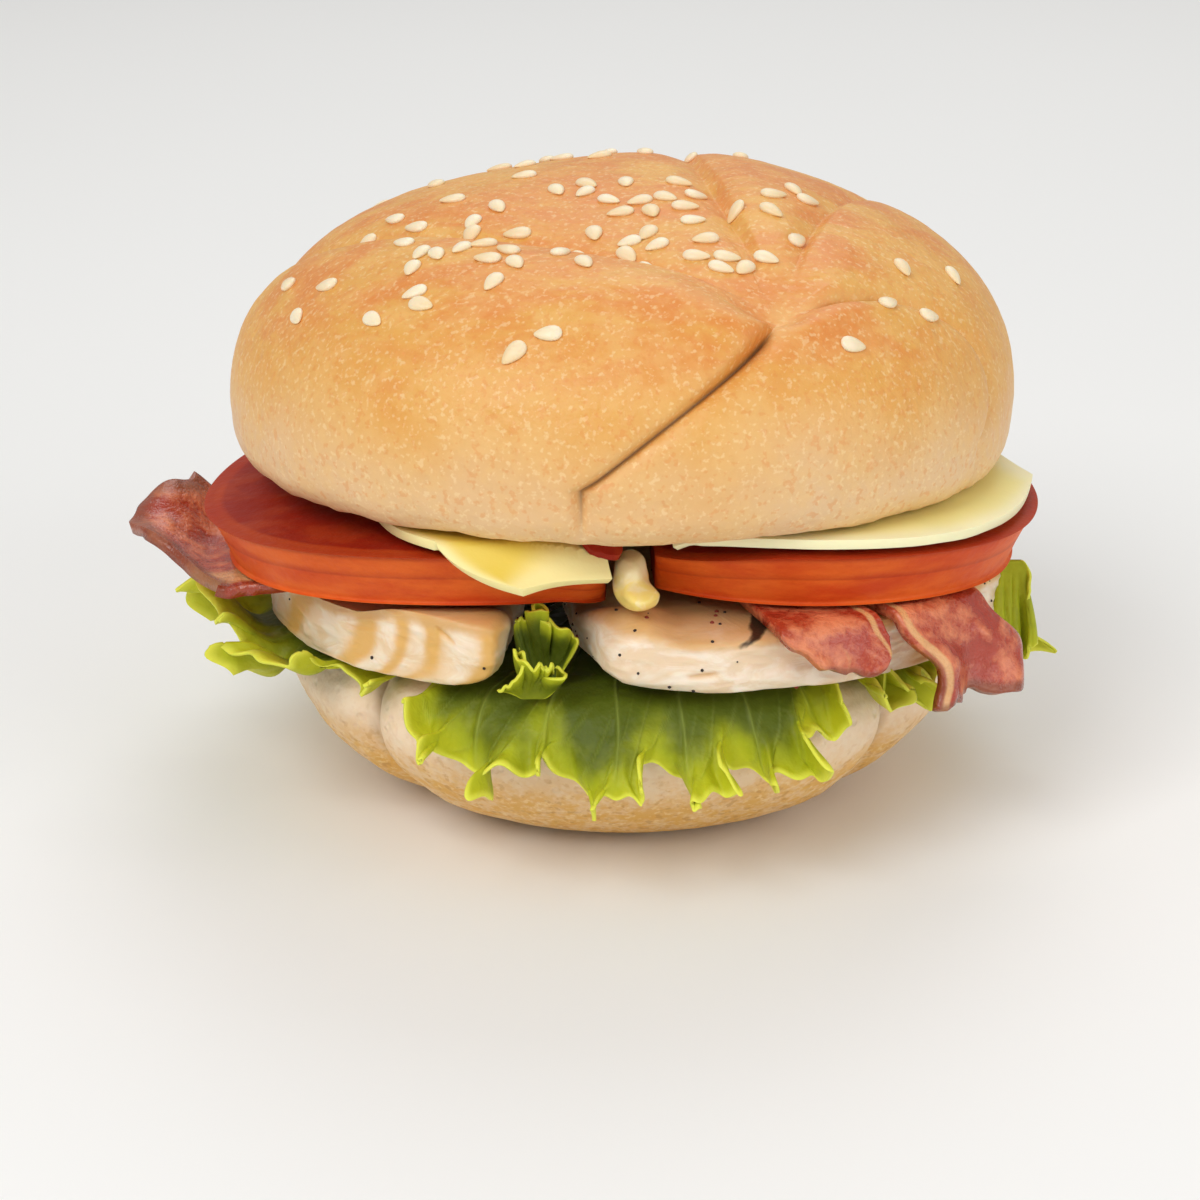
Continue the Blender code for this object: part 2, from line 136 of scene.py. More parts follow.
def over_edge(edge: float, reach: float, steepest: float, ease: float) -> tuple[float, float]:
    """Follows something that lies flat up to an edge and bends down beyond it.

    Args:
        edge: Radius at which it starts to bend.
        reach: Length along it past the edge, negative inside.
        steepest: Slope in degrees that it bends to.
        ease: Length over which it bends.

    Returns:
        The radius reached and the fall below the flat part.
    """
    if reach <= 0:
        return edge + reach, 0.0
    radius, fall, steps = edge, 0.0, 12
    for step in range(steps):
        slope = math.radians(steepest) * (1 - math.exp(-(step + 0.5) / steps * reach / ease))
        radius += reach / steps * math.cos(slope)
        fall += reach / steps * math.sin(slope)
    return radius, fall


# Mesh helpers


def finish_mesh(name: str, bm: bmesh.types.BMesh, marks: dict[str, list[float]]) -> bpy.types.Object:
    """Turns a bmesh in millimetres into an object that carries its marks as attributes.

    Args:
        name: Name of the object and its mesh.
        bm: The shape, which is freed.
        marks: One value per vertex for each mark that the materials read.

    Returns:
        The smooth-shaded object, linked to the scene.
    """
    bm.normal_update()
    bmesh.ops.recalc_face_normals(bm, faces=bm.faces[:])
    bm.transform(Matrix.Scale(MM, 4))
    mesh = bpy.data.meshes.new(name)
    bm.to_mesh(mesh)
    bm.free()
    mesh.shade_smooth()
    for mark, values in marks.items():
        mesh.attributes.new(mark, "FLOAT", "POINT").data.foreach_set("value", values)
    piece = bpy.data.objects.new(name, mesh)
    bpy.context.scene.collection.objects.link(piece)
    return piece


def turned(name: str, columns: int, rings: int, place: Placer) -> bpy.types.Object:
    """Reshapes a UV sphere, for a closed round piece.

    Args:
        name: Name of the piece.
        columns: Number of meridians.
        rings: Number of rings from pole to pole.
        place: Gives the point and marks at an azimuth and at t, 0 below and 1 above.

    Returns:
        The new object.
    """
    bm = bmesh.new()
    bmesh.ops.create_uvsphere(bm, u_segments=columns, v_segments=rings, radius=1.0)
    marks: dict[str, list[float]] = {}
    for vert in bm.verts:
        azimuth = math.atan2(vert.co.y, vert.co.x)
        t = 0.5 + math.asin(min(max(vert.co.z, -1.0), 1.0)) / math.pi
        vert.co, found = place(azimuth, t)
        for mark, value in found.items():
            marks.setdefault(mark, []).append(value)
    return finish_mesh(name, bm, marks)


def sheet(name: str, columns: int, rows: int, thickness: float, place: Placer) -> bpy.types.Object:
    """Reshapes a grid and gives it a thickness, for a leaf or a slice.

    Args:
        name: Name of the piece.
        columns: Faces along u.
        rows: Faces along v.
        thickness: Thickness in millimetres.
        place: Gives the point and marks at u and v, both from 0 to 1.

    Returns:
        The new object with a Solidify modifier.
    """
    bm = bmesh.new()
    bmesh.ops.create_grid(bm, x_segments=columns, y_segments=rows, size=0.5)
    marks: dict[str, list[float]] = {}
    for vert in bm.verts:
        vert.co, found = place(vert.co.x + 0.5, vert.co.y + 0.5)
        for mark, value in found.items():
            marks.setdefault(mark, []).append(value)
    piece = finish_mesh(name, bm, marks)
    wall = piece.modifiers.new("Thickness", "SOLIDIFY")
    wall.thickness = thickness * MM
    wall.offset = 0.0
    wall.use_even_offset = False
    return piece


def ordered_copy(mesh: bpy.types.Mesh) -> bpy.types.Mesh:
    """Copies a mesh with its faces in a fixed order, so that what is scattered on it repeats itself.

    Args:
        mesh: The mesh, whose faces may come in any order.

    Returns:
        The copy, with its shape alone.
    """
    faces = []
    for face in mesh.polygons:
        corners = list(face.vertices)
        first = corners.index(min(corners))
        faces.append(corners[first:] + corners[:first])
    copy = bpy.data.meshes.new(mesh.name)
    copy.from_pydata([vert.co[:] for vert in mesh.vertices], [], sorted(faces))
    return copy


# Material helpers


@dataclass(frozen=True)
class Cloud:
    """A noise texture: its lumps in a metre, levels and strength of finer noise, stretch and twist."""

    per_metre: float
    detail: float = 3.0
    rough: float = 0.55
    stretch: Point = (1.0, 1.0, 1.0)
    twist: float = 0.0


@dataclass
class Nodes:
    """Adds nodes to one tree and links them in a short form."""

    tree: bpy.types.NodeTree

    def give(self, target: bpy.types.NodeSocket, value: object) -> None:
        """Links a socket to a node's input, or sets the input to a plain value."""
        if isinstance(value, bpy.types.NodeSocket):
            self.tree.links.new(value, target)
        else:
            target.default_value = value

    def add(self, kind: str, inputs: dict[str | int, object] | None = None,
            **settings: object) -> bpy.types.Node:
        """Adds one node.

        Args:
            kind: The node's type, where a shader's may lack its ShaderNode prefix.
            inputs: A value or a socket to link, for each input named or numbered.
            settings: Properties set on the node itself.

        Returns:
            The new node.
        """
        node = self.tree.nodes.new(kind if "Node" in kind else f"ShaderNode{kind}")
        for key, value in settings.items():
            setattr(node, key, value)
        for key, value in (inputs or {}).items():
            self.give(node.inputs[key], value)
        return node

    def math(self, operation: str, first: object, second: object = 0.0,
             clamp: bool = False) -> bpy.types.NodeSocket:
        """The result of a Math node on two values or sockets."""
        return self.add("Math", {0: first, 1: second}, operation=operation, use_clamp=clamp).outputs[0]

    def times(self, value: object, share: object) -> bpy.types.NodeSocket:
        """A value times a share."""
        return self.math("MULTIPLY", value, share)

    def plus(self, value: object, other: object, share: object) -> bpy.types.NodeSocket:
        """A value and a share of another one together."""
        return self.math("ADD", value, self.times(other, share))

    def rest(self, value: object) -> bpy.types.NodeSocket:
        """What a value leaves of 1."""
        return self.math("SUBTRACT", 1.0, value)

    def mark(self, name: str) -> bpy.types.NodeSocket:
        """A mark that the piece's mesh carries, such as its distance from an edge."""
        return self.add("Attribute", attribute_name=name).outputs["Fac"]

    def place(self) -> bpy.types.NodeSocket:
        """Object coordinates, in metres."""
        return self.add("TexCoord").outputs["Object"]

    def height(self) -> bpy.types.NodeSocket:
        """The height above the ground, in metres."""
        return self.add("SeparateXYZ", {0: self.place()}).outputs["Z"]

    def cloud(self, cloud: Cloud) -> bpy.types.NodeSocket:
        """A noise texture between 0 and 1."""
        where = self.add("Mapping", {"Vector": self.place(), "Scale": cloud.stretch}).outputs[0]
        return self.add("TexNoise", {
            "Vector": where, "Scale": cloud.per_metre, "Detail": cloud.detail,
            "Roughness": cloud.rough, "Distortion": cloud.twist,
        }).outputs["Fac"]

    def uneven(self, cloud: Cloud) -> bpy.types.NodeSocket:
        """A noise texture whose middle is 0."""
        return self.math("SUBTRACT", self.cloud(cloud), 0.5)

    def span(self, value: bpy.types.NodeSocket, low: float, high: float) -> bpy.types.NodeSocket:
        """Maps low to high onto 0 to 1, smoothly and clamped."""
        return self.add("MapRange", {"Value": value, "From Min": low, "From Max": high},
                        interpolation_type="SMOOTHSTEP").outputs["Result"]

    def blend(self, amount: object, first: object, second: object) -> bpy.types.NodeSocket:
        """Mixes two colours.

        Args:
            amount: How much of the second, as a number or a socket.
            first: The first colour or socket.
            second: The second colour or socket.

        Returns:
            The mixed colour.
        """
        node = self.add("Mix", data_type="RGBA")
        factor, start, end = node.inputs[0], node.inputs[6], node.inputs[7]
        for socket, value in ((factor, amount), (start, first), (end, second)):
            self.give(socket, (*value, 1.0) if isinstance(value, tuple) else value)
        return node.outputs[2]


class SharedEffect(Enum):
    """Effects that more than one food's material uses, each built once as a node group."""

    MOTTLE = "food_mottle"
    PORES = "food_pores"
    STIPPLE = "food_stipple"


@dataclass
class EffectShelf:
    """Builds the shared node groups once and places them."""

    made: dict[SharedEffect, bpy.types.NodeTree] = field(default_factory=dict)

    def get(self, effect: SharedEffect) -> bpy.types.NodeTree:
        """The node group of an effect, built at its first use."""
        if effect not in self.made:
            builders = {
                SharedEffect.MOTTLE: self._mottle,
                SharedEffect.PORES: self._pores,
                SharedEffect.STIPPLE: self._stipple,
            }
            self.made[effect] = builders[effect](effect.value)
        return self.made[effect]

    def put(self, nodes: Nodes, effect: SharedEffect, inputs: dict[str, object]) -> bpy.types.Node:
        """Places an effect in a material.

        Args:
            nodes: The material's node helper.
            effect: The effect.
            inputs: The material's own value or socket for each of its inputs.

        Returns:
            The placed group.
        """
        return nodes.add("Group", inputs, node_tree=self.get(effect))

    @staticmethod
    def _start(name: str, numbers: dict[str, float], colours: dict[str, Colour], outputs: dict[str, str]
               ) -> tuple[Nodes, bpy.types.Node, bpy.types.Node]:
        """Starts a group with named sockets.

        Args:
            name: Name of the group.
            numbers: Number inputs and their usual values.
            colours: Colour inputs and their usual values.
            outputs: Output names and socket types.

        Returns:
            The node helper, the group's input node and its output node.
        """
        tree = bpy.data.node_groups.new(name, "ShaderNodeTree")
        for key, value in numbers.items():
            socket = tree.interface.new_socket(key, in_out="INPUT", socket_type="NodeSocketFloat")
            socket.default_value = value
        for key, colour in colours.items():
            socket = tree.interface.new_socket(key, in_out="INPUT", socket_type="NodeSocketColor")
            socket.default_value = (*colour, 1.0)
        for key, kind in outputs.items():
            tree.interface.new_socket(key, in_out="OUTPUT", socket_type=kind)
        nodes = Nodes(tree)
        return nodes, nodes.add("NodeGroupInput"), nodes.add("NodeGroupOutput")

    def _mottle(self, name: str) -> bpy.types.NodeTree:
        """Two sizes of blotch that vary a colour.

        Args:
            name: Name of the group.

        Returns:
            The group.
        """
        nodes, given, result = self._start(
            name, {"Scale": 120.0, "Amount": 0.5}, {"Colour": (0.5, 0.5, 0.5), "Blotch": (0.8, 0.8, 0.8)},
            {"Colour": "NodeSocketColor", "Mask": "NodeSocketFloat"},
        )
        where = nodes.place()
        coarse = nodes.add("TexNoise", {"Vector": where, "Scale": given.outputs["Scale"], "Detail": 3.0})
        finer = nodes.times(given.outputs["Scale"], 4.3)
        fine = nodes.add("TexNoise", {"Vector": where, "Scale": finer, "Detail": 2.0})
        both = nodes.plus(nodes.times(coarse.outputs["Fac"], 0.6), fine.outputs["Fac"], 0.4)
        mask = nodes.span(both, 0.42, 0.62)
        amount = nodes.times(mask, given.outputs["Amount"])
        mixed = nodes.blend(amount, given.outputs["Colour"], given.outputs["Blotch"])
        nodes.tree.links.new(mixed, result.inputs["Colour"])
        nodes.tree.links.new(mask, result.inputs["Mask"])
        return nodes.tree

    def _pores(self, name: str) -> bpy.types.NodeTree:
        """Fine dimples and pores, as a height for a Bump node.

        Args:
            name: Name of the group.

        Returns:
            The group.
        """
        nodes, given, result = self._start(
            name, {"Scale": 900.0, "Pore scale": 350.0, "Pores": 0.5}, {}, {"Height": "NodeSocketFloat"},
        )
        where = nodes.place()
        skin = nodes.add("TexNoise", {"Vector": where, "Scale": given.outputs["Scale"], "Detail": 3.0})
        cells = nodes.add("TexVoronoi", {"Vector": where, "Scale": given.outputs["Pore scale"]})
        pore = nodes.rest(nodes.span(cells.outputs["Distance"], 0.05, 0.3))
        deep = nodes.times(pore, given.outputs["Pores"])
        nodes.tree.links.new(nodes.math("SUBTRACT", skin.outputs["Fac"], deep), result.inputs["Height"])
        return nodes.tree

    def _stipple(self, name: str) -> bpy.types.NodeTree:
        """Fine light flecks and fewer dark dots over a colour.

        Args:
            name: Name of the group.

        Returns:
            The group.
        """
        grey = (0.5, 0.5, 0.5)
        nodes, given, result = self._start(
            name, {"Scale": 1200.0, "Amount": 0.5}, {"Colour": grey, "Light": grey, "Dark": grey},
            {"Colour": "NodeSocketColor"},
        )
        where = nodes.place()
        flecks = nodes.add("TexNoise", {"Vector": where, "Scale": given.outputs["Scale"], "Detail": 2.0})
        coarser = nodes.times(given.outputs["Scale"], 0.7)
        dots = nodes.add("TexNoise", {"Vector": where, "Scale": coarser, "Detail": 2.0})
        light = nodes.times(nodes.span(flecks.outputs["Fac"], 0.55, 0.68), given.outputs["Amount"])
        dark = nodes.rest(nodes.span(dots.outputs["Fac"], 0.33, 0.44))
        dark = nodes.times(dark, given.outputs["Amount"])
        mixed = nodes.blend(light, given.outputs["Colour"], given.outputs["Light"])
        mixed = nodes.blend(dark, mixed, given.outputs["Dark"])
        nodes.tree.links.new(mixed, result.inputs["Colour"])
        return nodes.tree


EFFECTS = EffectShelf()


@dataclass(frozen=True)
class Finish:
    """What every food's surface has: a name, a gloss and a soft glow of light inside it."""

    name: str
    roughness: float = 0.5
    glow: float = 0.0
    glow_reach: float = 0.002
    coat: float = 0.0
    specular: float = 0.5
    glow_by_colour: Colour = (1.0, 0.5, 0.25)
    coat_roughness: float = 0.18

    def material(self) -> bpy.types.Material:
        """Builds the material, with constants on the shader's own sockets.

        Returns:
            The finished material.
        """
        made = bpy.data.materials.new(self.name)
        made.use_nodes = True
        nodes = Nodes(made.node_tree)
        shader = made.node_tree.nodes["Principled BSDF"]
        shader.inputs["Roughness"].default_value = self.roughness
        shader.inputs["Subsurface Weight"].default_value = self.glow
        shader.inputs["Subsurface Radius"].default_value = self.glow_by_colour
        shader.inputs["Subsurface Scale"].default_value = self.glow_reach
        shader.inputs["Coat Weight"].default_value = self.coat
        shader.inputs["Coat Roughness"].default_value = self.coat_roughness
        shader.inputs["Specular IOR Level"].default_value = self.specular
        self.paint(nodes, shader)
        return made

    def paint(self, nodes: Nodes, shader: bpy.types.Node) -> None:
        """Links the colour, roughness and relief; each food does this its own way."""
        raise NotImplementedError

    @staticmethod
    def relief(nodes: Nodes, shader: bpy.types.Node, height: bpy.types.NodeSocket, depth_mm: float) -> None:
        """Adds a bump.

        Args:
            nodes: The material's node helper.
            shader: The Principled shader.
            height: The height, about 0 to 1.
            depth_mm: What a height of 1 means in millimetres.
        """
        node = nodes.add("Bump", {"Height": height, "Distance": depth_mm * MM, "Strength": 1.0})
        nodes.give(shader.inputs["Normal"], node.outputs[0])


@dataclass(frozen=True)
class CrustFinish(Finish):
    """Baked crust of the roll's top: cream at the rim, golden above, streaked near the top.

    The heights between which one colour turns to the next are in metres.
    """

    rim: Colour = (0.80, 0.54, 0.29)
    golden: Colour = (0.77, 0.385, 0.080)
    streaked: Colour = (0.74, 0.255, 0.048)
    pale: Colour = (0.86, 0.55, 0.21)
    fleck: Colour = (0.94, 0.73, 0.40)
    # Painted shade: dark colour laid in the fold cracks and in the pits.
    shaded_crack: Colour = (0.30, 0.13, 0.04)
    # Places and size of the two pits, which are painted dark as shade.
    pits: tuple[Point, ...] = ((-0.0404, -0.0330, 0.0549), (-0.0346, -0.0384, 0.0600))
    pit_radius: float = 0.0008
    pit_core: float = 0.3
    border: Cloud = Cloud(34.0, 4.0)
    border_wander: float = 0.026
    golden_heights: Range = (0.046, 0.066)
    streaked_heights: Range = (0.060, 0.074)
    streaks: Cloud = Cloud(120.0, 4.0, 0.6, (0.28, 0.8, 1.6), 0.5)
    streak_share: float = 0.95
    # Painted highlight: share of pale colour along the lip beside each cracked fold.
    lip_highlight_share: float = 0.55
    least_rough: float = 0.44
    blotch_rough: float = 0.16
    relief_mm: float = 0.20

    def paint(self, nodes: Nodes, shader: bpy.types.Node) -> None:
        """Paints the crust by height, with streaks, a fine stipple, painted shade in pits and fold lines, and
        painted lip highlights.
        """
        level = nodes.plus(nodes.height(), nodes.uneven(self.border), self.border_wander)
        base = nodes.blend(nodes.span(level, *self.golden_heights), self.rim, self.golden)
        streak = nodes.span(nodes.cloud(self.streaks), 0.40, 0.60)
        top = nodes.times(nodes.span(level, *self.streaked_heights), streak)
        base = nodes.blend(nodes.times(top, self.streak_share), base, self.streaked)
        soft = EFFECTS.put(nodes, SharedEffect.MOTTLE, {
            "Scale": 150.0, "Amount": 0.30, "Colour": base, "Blotch": (*self.pale, 1.0),
        })
        stipple = EFFECTS.put(nodes, SharedEffect.STIPPLE, {
            "Scale": 1500.0, "Amount": 0.36, "Colour": soft.outputs["Colour"],
            "Light": (*self.fleck, 1.0), "Dark": (*self.streaked, 1.0),
        })
        # Painted highlight: the pale lip beside each cracked fold.
        lip = nodes.times(nodes.mark("lip"), self.lip_highlight_share)
        colour = nodes.blend(lip, stipple.outputs["Colour"], self.pale)
        # Painted shade: dark colour along the cracks of the folds.
        colour = nodes.blend(nodes.mark("fold"), colour, self.shaded_crack)
        # Painted shade: each pit is a dark spot, with no hollow in the shape.
        for pit in self.pits:
            away = nodes.add("VectorMath", {0: nodes.place(), 1: pit}, operation="DISTANCE").outputs["Value"]
            inside = nodes.rest(nodes.span(away, self.pit_core * self.pit_radius, self.pit_radius))
            colour = nodes.blend(inside, colour, self.shaded_crack)
        nodes.give(shader.inputs["Base Color"], colour)
        rough = nodes.plus(self.least_rough, soft.outputs["Mask"], self.blotch_rough)
        nodes.give(shader.inputs["Roughness"], rough)
        pores = EFFECTS.put(nodes, SharedEffect.PORES, {"Scale": 700.0, "Pore scale": 240.0, "Pores": 0.4})
        self.relief(nodes, shader, pores.outputs["Height"], self.relief_mm)


@dataclass(frozen=True)
class CrumbFinish(Finish):
    """The roll's bottom: pale and floury above, golden and stippled below."""

    upper: Colour = (0.87, 0.67, 0.47)
    lower: Colour = (0.75, 0.41, 0.085)
    flour: Colour = (0.94, 0.80, 0.62)
    fleck: Colour = (0.90, 0.66, 0.34)
    toasted: Colour = (0.56, 0.27, 0.06)
    # Painted shade: dark colour laid in the slits of the creases.
    shaded_crack: Colour = (0.30, 0.15, 0.05)
    border: Cloud = Cloud(70.0, 5.0)
    border_wander: float = 0.010
    pale_heights: Range = (0.009, 0.019)
    foot_heights: Range = (0.010, 0.018)
    stipple_share: float = 0.1
    foot_stipple_share: float = 0.5
    crease_shade_share: float = 0.75
    relief_mm: float = 0.26

    def paint(self, nodes: Nodes, shader: bpy.types.Node) -> None:
        """Paints the pale wall, the browned foot, the stipple and painted shade in the creases."""
        level = nodes.plus(nodes.height(), nodes.uneven(self.border), self.border_wander)
        base = nodes.blend(nodes.span(level, *self.pale_heights), self.lower, self.upper)
        soft = EFFECTS.put(nodes, SharedEffect.MOTTLE, {
            "Scale": 260.0, "Amount": 0.35, "Colour": base, "Blotch": (*self.flour, 1.0),
        })
        foot = nodes.rest(nodes.span(level, *self.foot_heights))
        stipple = EFFECTS.put(nodes, SharedEffect.STIPPLE, {
            "Scale": 1150.0, "Amount": nodes.plus(self.stipple_share, foot, self.foot_stipple_share),
            "Colour": soft.outputs["Colour"], "Light": (*self.fleck, 1.0), "Dark": (*self.toasted, 1.0),
        })
        # Painted shade in the slits of the creases.
        crease = nodes.times(nodes.mark("crease"), self.crease_shade_share)
        nodes.give(shader.inputs["Base Color"], nodes.blend(crease, stipple.outputs["Colour"], self.shaded_crack))
        pores = EFFECTS.put(nodes, SharedEffect.PORES, {"Scale": 600.0, "Pore scale": 420.0, "Pores": 0.7})
        self.relief(nodes, shader, pores.outputs["Height"], self.relief_mm)


@dataclass(frozen=True)
class SeedFinish(Finish):
    """Hulled sesame seeds: cream, each of its own shade."""

    light: Colour = (0.95, 0.86, 0.66)
    dark: Colour = (0.84, 0.58, 0.26)
    tint_share: float = 0.4
    point_share: float = 0.4
    skin: Cloud = Cloud(2500.0, 2.0)
    relief_mm: float = 0.05

    def paint(self, nodes: Nodes, shader: bpy.types.Node) -> None:
        """Paints each seed by its own tint, darker towards its pointed end."""
        tint = nodes.times(nodes.mark("tint"), self.tint_share)
        shade = nodes.math("ADD", tint, nodes.times(nodes.mark("point"), self.point_share), clamp=True)
        nodes.give(shader.inputs["Base Color"], nodes.blend(shade, self.light, self.dark))
        self.relief(nodes, shader, nodes.cloud(self.skin), self.relief_mm)


@dataclass(frozen=True)
class PepperFinish(Finish):
    """Ground pepper: nearly black, with a few red grains."""

    black: Colour = (0.020, 0.013, 0.010)
    red: Colour = (0.26, 0.030, 0.012)
    black_share: float = 0.8
    skin: Cloud = Cloud(4000.0, 2.0)
    relief_mm: float = 0.05

    def paint(self, nodes: Nodes, shader: bpy.types.Node) -> None:
        """Paints each grain black, and one in five red."""
        red = nodes.math("GREATER_THAN", nodes.mark("tint"), self.black_share)
        nodes.give(shader.inputs["Base Color"], nodes.blend(red, self.black, self.red))
        self.relief(nodes, shader, nodes.cloud(self.skin), self.relief_mm)


@dataclass(frozen=True)
class LeafFinish(Finish):
    """Frilly lettuce: deep green inside, yellow-green at the frill, with a light outline.

    The spans say how far towards the frill, from 0 to 1, each colour takes over.
    """

    deep: Colour = (0.090, 0.120, 0.006)
    fresh: Colour = (0.38, 0.42, 0.013)
    frill: Colour = (0.54, 0.56, 0.018)
    outline: Colour = (0.78, 0.80, 0.08)
    vein: Colour = (0.42, 0.50, 0.10)
    patches: Cloud = Cloud(110.0, 4.0)
    patch_share: float = 0.34
    fresh_span: Range = (0.70, 0.90)
    frill_span: Range = (0.84, 1.02)
    outline_span: Range = (0.965, 1.0)
    vein_share: float = 0.25
    blisters: Cloud = Cloud(380.0, 3.0, 0.5)
    rib_share: float = 0.5
    relief_mm: float = 0.5

    def paint(self, nodes: Nodes, shader: bpy.types.Node) -> None:
        """Paints the leaf by its distance from the stalk, with veins, blisters and a light outline."""
        reach = nodes.plus(nodes.mark("reach"), nodes.uneven(self.patches), self.patch_share)
        base = nodes.blend(nodes.span(reach, *self.fresh_span), self.deep, self.fresh)
        base = nodes.blend(nodes.span(reach, *self.frill_span), base, self.frill)
        base = nodes.blend(nodes.times(nodes.mark("vein"), self.vein_share), base, self.vein)
        colour = nodes.blend(nodes.span(nodes.mark("reach"), *self.outline_span), base, self.outline)
        nodes.give(shader.inputs["Base Color"], colour)
        ribbed = nodes.plus(nodes.cloud(self.blisters), nodes.mark("vein"), self.rib_share)
        self.relief(nodes, shader, ribbed, self.relief_mm)


@dataclass(frozen=True)
class ChickenFinish(Finish):
    """Grilled chicken: creamy meat, golden stripes, a browned upper edge and dark char."""

    meat: Colour = (0.86, 0.64, 0.40)
    white: Colour = (0.94, 0.80, 0.62)
    gold: Colour = (0.76, 0.42, 0.09)
    tan: Colour = (0.70, 0.41, 0.15)
    char: Colour = (0.05, 0.026, 0.013)
    fibres: Cloud = Cloud(320.0, 4.0, 0.6, (0.45, 0.6, 1.2), 1.2)
    patches: Cloud = Cloud(120.0, 4.0, 0.6)
    fibre_share: float = 0.55
    patch_share: float = 0.45
    white_span: Range = (0.42, 0.58)
    stripe_wander: float = 1.8
    stripe_span: Range = (0.0, 0.95)
    stripe_share: float = 0.92
    edge_wander: float = 1.2
    edge_span: Range = (0.30, 0.90)
    edge_share: float = 0.9
    line_share: float = 0.7
    char_wander: float = 1.6
    char_span: Range = (0.45, 0.75)
    least_rough: float = 0.32
    fibre_rough: float = 0.25
    relief_mm: float = 0.45

    def paint(self, nodes: Nodes, shader: bpy.types.Node) -> None:
        """Paints fibres, grill stripes, the browned upper edge, the fold line and the char."""
        fibre = nodes.cloud(self.fibres)
        patch = nodes.cloud(self.patches)
        light = nodes.plus(nodes.times(fibre, self.fibre_share), patch, self.patch_share)
        base = nodes.blend(nodes.span(light, *self.white_span), self.meat, self.white)
        uneven = nodes.math("SUBTRACT", patch, 0.5)
        stripe = nodes.span(nodes.plus(nodes.mark("stripe"), uneven, self.stripe_wander), *self.stripe_span)
        base = nodes.blend(nodes.times(stripe, self.stripe_share), base, self.gold)
        edge = nodes.span(nodes.plus(nodes.mark("browned"), uneven, self.edge_wander), *self.edge_span)
        base = nodes.blend(nodes.times(edge, self.edge_share), base, self.tan)
        base = nodes.blend(nodes.times(nodes.mark("line"), self.line_share), base, self.gold)
        burnt = nodes.span(nodes.plus(nodes.mark("char"), uneven, self.char_wander), *self.char_span)
        nodes.give(shader.inputs["Base Color"], nodes.blend(burnt, base, self.char))
        nodes.give(shader.inputs["Roughness"], nodes.plus(self.least_rough, fibre, self.fibre_rough))
        self.relief(nodes, shader, light, self.relief_mm)


@dataclass(frozen=True)
class BaconFinish(Finish):
    """Fried bacon: red meat with pink highlights, tan streaks of fat and browned edges."""

    lean: Colour = (0.42, 0.045, 0.018)
    pink: Colour = (0.78, 0.25, 0.11)
    fat: Colour = (0.76, 0.42, 0.17)
    burnt: Colour = (0.22, 0.050, 0.014)
    blotches: Cloud = Cloud(190.0, 5.0, 0.65)
    pink_span: Range = (0.40, 0.64)
    borders: Cloud = Cloud(120.0, 4.0)
    border_wander: float = 0.9
    fat_span: Range = (0.50, 0.85)
    fat_share: float = 0.9
    burnt_span: Range = (0.55, 1.0)
    burnt_share: float = 0.75
    least_rough: float = 0.24
    blotch_rough: float = 0.2
    wrinkles: Cloud = Cloud(380.0, 4.0, 0.6)
    relief_mm: float = 0.8

    def paint(self, nodes: Nodes, shader: bpy.types.Node) -> None:
        """Paints blotched meat, thin bands of fat along the rasher and the browned rim."""
        blotch = nodes.span(nodes.cloud(self.blotches), *self.pink_span)
        meat = nodes.blend(blotch, self.lean, self.pink)
        shift = nodes.times(nodes.uneven(self.borders), self.border_wander)
        band = nodes.span(nodes.math("ADD", nodes.mark("fat"), shift), *self.fat_span)
        base = nodes.blend(nodes.times(band, self.fat_share), meat, self.fat)
        rim = nodes.span(nodes.math("ADD", nodes.mark("rim"), shift), *self.burnt_span)
        base = nodes.blend(nodes.times(rim, self.burnt_share), base, self.burnt)
        nodes.give(shader.inputs["Base Color"], base)
        nodes.give(shader.inputs["Roughness"], nodes.plus(self.least_rough, blotch, self.blotch_rough))
        self.relief(nodes, shader, nodes.cloud(self.wrinkles), self.relief_mm)


@dataclass(frozen=True)
class TomatoFinish(Finish):
    """Tomato: smooth orange-red skin, darker wet flesh on the cut faces."""

    skin: Colour = (0.60, 0.058, 0.007)
    skin_light: Colour = (0.76, 0.130, 0.014)
    flesh: Colour = (0.32, 0.016, 0.004)
    core: Colour = (0.52, 0.070, 0.012)
    streaks: Cloud = Cloud(110.0, 5.0, 0.65, (0.6, 0.6, 2.0))
    streak_span: Range = (0.30, 0.68)
    # Painted shade: share of dark flesh colour along the skin's upper edge.
    brim_shade_share: float = 0.75
    ribs: Cloud = Cloud(160.0, 3.0)
    rib_span: Range = (0.45, 0.62)
    rib_share: float = 0.35
    least_rough: float = 0.42
    wet_rough: float = 0.16
    wet_patches: Cloud = Cloud(300.0)
    grain: Cloud = Cloud(700.0, 4.0)
    relief_mm: float = 0.16

    def paint(self, nodes: Nodes, shader: bpy.types.Node) -> None:
        """Paints the streaky skin, painted shade along its upper edge, and the cut faces with their ribs."""
        streak = nodes.span(nodes.cloud(self.streaks), *self.streak_span)
        skin = nodes.blend(streak, self.skin, self.skin_light)
        # Painted shade: the skin darkens along its upper edge.
        skin = nodes.blend(nodes.times(nodes.mark("brim_shade"), self.brim_shade_share), skin, self.flesh)
        ribs = nodes.span(nodes.cloud(self.ribs), *self.rib_span)
        cut = nodes.blend(nodes.times(ribs, self.rib_share), self.flesh, self.core)
        nodes.give(shader.inputs["Base Color"], nodes.blend(nodes.mark("cut"), skin, cut))
        wet = nodes.plus(self.least_rough, nodes.cloud(self.wet_patches), self.wet_rough)
        nodes.give(shader.inputs["Roughness"], wet)
        self.relief(nodes, shader, nodes.cloud(self.grain), self.relief_mm)


